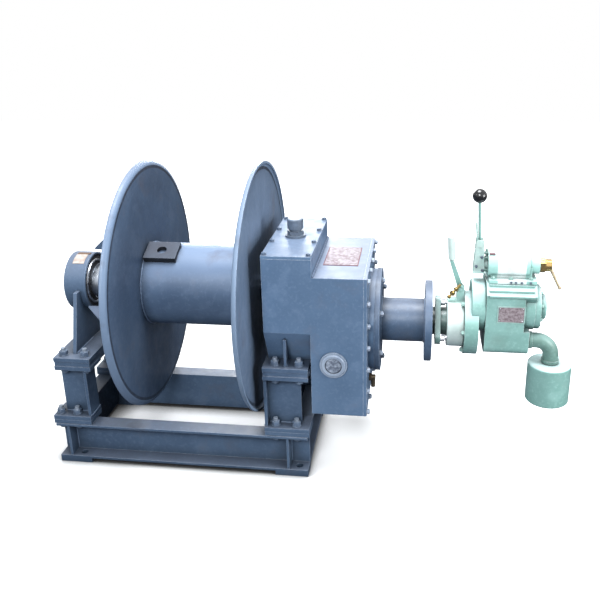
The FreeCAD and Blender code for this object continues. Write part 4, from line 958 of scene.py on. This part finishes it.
# %% Curved plate on the bearing, and the bright ring round its seal
def curved_strip(radius, thick, x0, x1, first, last, steps=14):
    def build(work):
        loops = []
        for k in range(steps + 1):
            a = math.radians(first + (last - first) * k / steps)
            loops.append([work.verts.new(Vector((x, -r * math.sin(a), DRUM_Z + r * math.cos(a))) / 1000.0)
                          for r in (radius - thick, radius) for x in (x0, x1)])
        for one, two in zip(loops, loops[1:]):
            for i, j in ((2, 3), (1, 0), (0, 2), (3, 1)):
                work.faces.new((one[i], one[j], two[j], two[i]))
        for loop in (loops[0], loops[-1]):
            work.faces.new((loop[0], loop[1], loop[3], loop[2]))
    return build


solid("bearing_plate", curved_strip(123.4, 1.8, -490.0, -441.0, 9.0, 36.0), cream_plate)
solid("bearing_plate_edge", curved_strip(123.9, 2.3, -489.0, -434.0, 1.0, 8.0, 4), rust_edge)


def seal_ring(work):
    steps, x = 72, (-429.6, -424.5)
    loops = []
    for k in range(steps):
        a = math.tau * k / steps
        loops.append([work.verts.new(Vector((xx, r * math.cos(a), DRUM_Z + r * math.sin(a))) / 1000.0)
                      for xx, r in ((x[0], 84.0), (x[1], 86.0), (x[1], 92.0), (x[0], 95.0))])
    for k in range(steps):
        one, two = loops[k], loops[(k + 1) % steps]
        for i in range(4):
            j = (i + 1) % 4
            work.faces.new((one[i], one[j], two[j], two[i]))


solid("seal_ring", seal_ring, bare_steel)


# %% Fittings of the air motor
def nipples(work):
    add_rod(work, (1169.0, -16.0, 874.0), (1190.0, -16.0, 874.0), 8.0, sides=6)
    add_rod(work, (1167.0, -16.0, 896.0), (1183.0, -16.0, 896.0), 6.5, sides=6)
    add_rod(work, (1181.0, -16.0, 866.0), (1181.0, -16.0, 912.0), 4.5)
    add_rod(work, (1172.0, -18.0, 826.0), (1190.0, -18.0, 826.0), 7.0, sides=6)


solid("valve_nipples", nipples, shaded_pipe_paint, bevel=0.6)
solid("lever_stop_pin", lambda w: add_rod(w, (1144.0, -20.0, 936.0), (1137.0, -24.0, 1018.0), 3.2),
      mint_bolt, bevel=0.6)
solid("cap_plate", lambda w: add_block(w, 1192.0, 1214.0, -30.0, -12.0, 893.0, 895.5), plate_frame,
      bevel=0.4)


# %% Handle of the inlet cock and the brass adjusting screw
def cock_handle(work):
    add_rod(work, (1427.0, -14.0, 834.0), (1465.0, -16.0, 760.0), 6.2, tip=5.6)
    bmesh.ops.create_uvsphere(work, u_segments=16, v_segments=10, radius=0.0072,
                              matrix=Matrix.Translation((1.4652, -0.0160, 0.7595)))


solid("inlet_handle", cock_handle, pale_brass)


def adjusting_screw(work):
    foot, head = Vector((1042.0, -24.0, 706.0)), Vector((1088.0, -24.0, 764.0))
    add_rod(work, foot, head, 5.0)
    for first, last, radius in ((0.02, 0.13, 8.5), (0.26, 0.44, 11.5), (0.58, 0.70, 10.0)):
        add_rod(work, foot.lerp(head, first), foot.lerp(head, last), radius, sides=6)


solid("adjusting_screw", adjusting_screw, brass, bevel=0.5)
solid("exhaust_drain", lambda w: add_rod(w, (1366.0, -55.0, 531.0), (1366.0, -55.0, 518.0), 6.5, sides=6),
      brass, bevel=0.6)
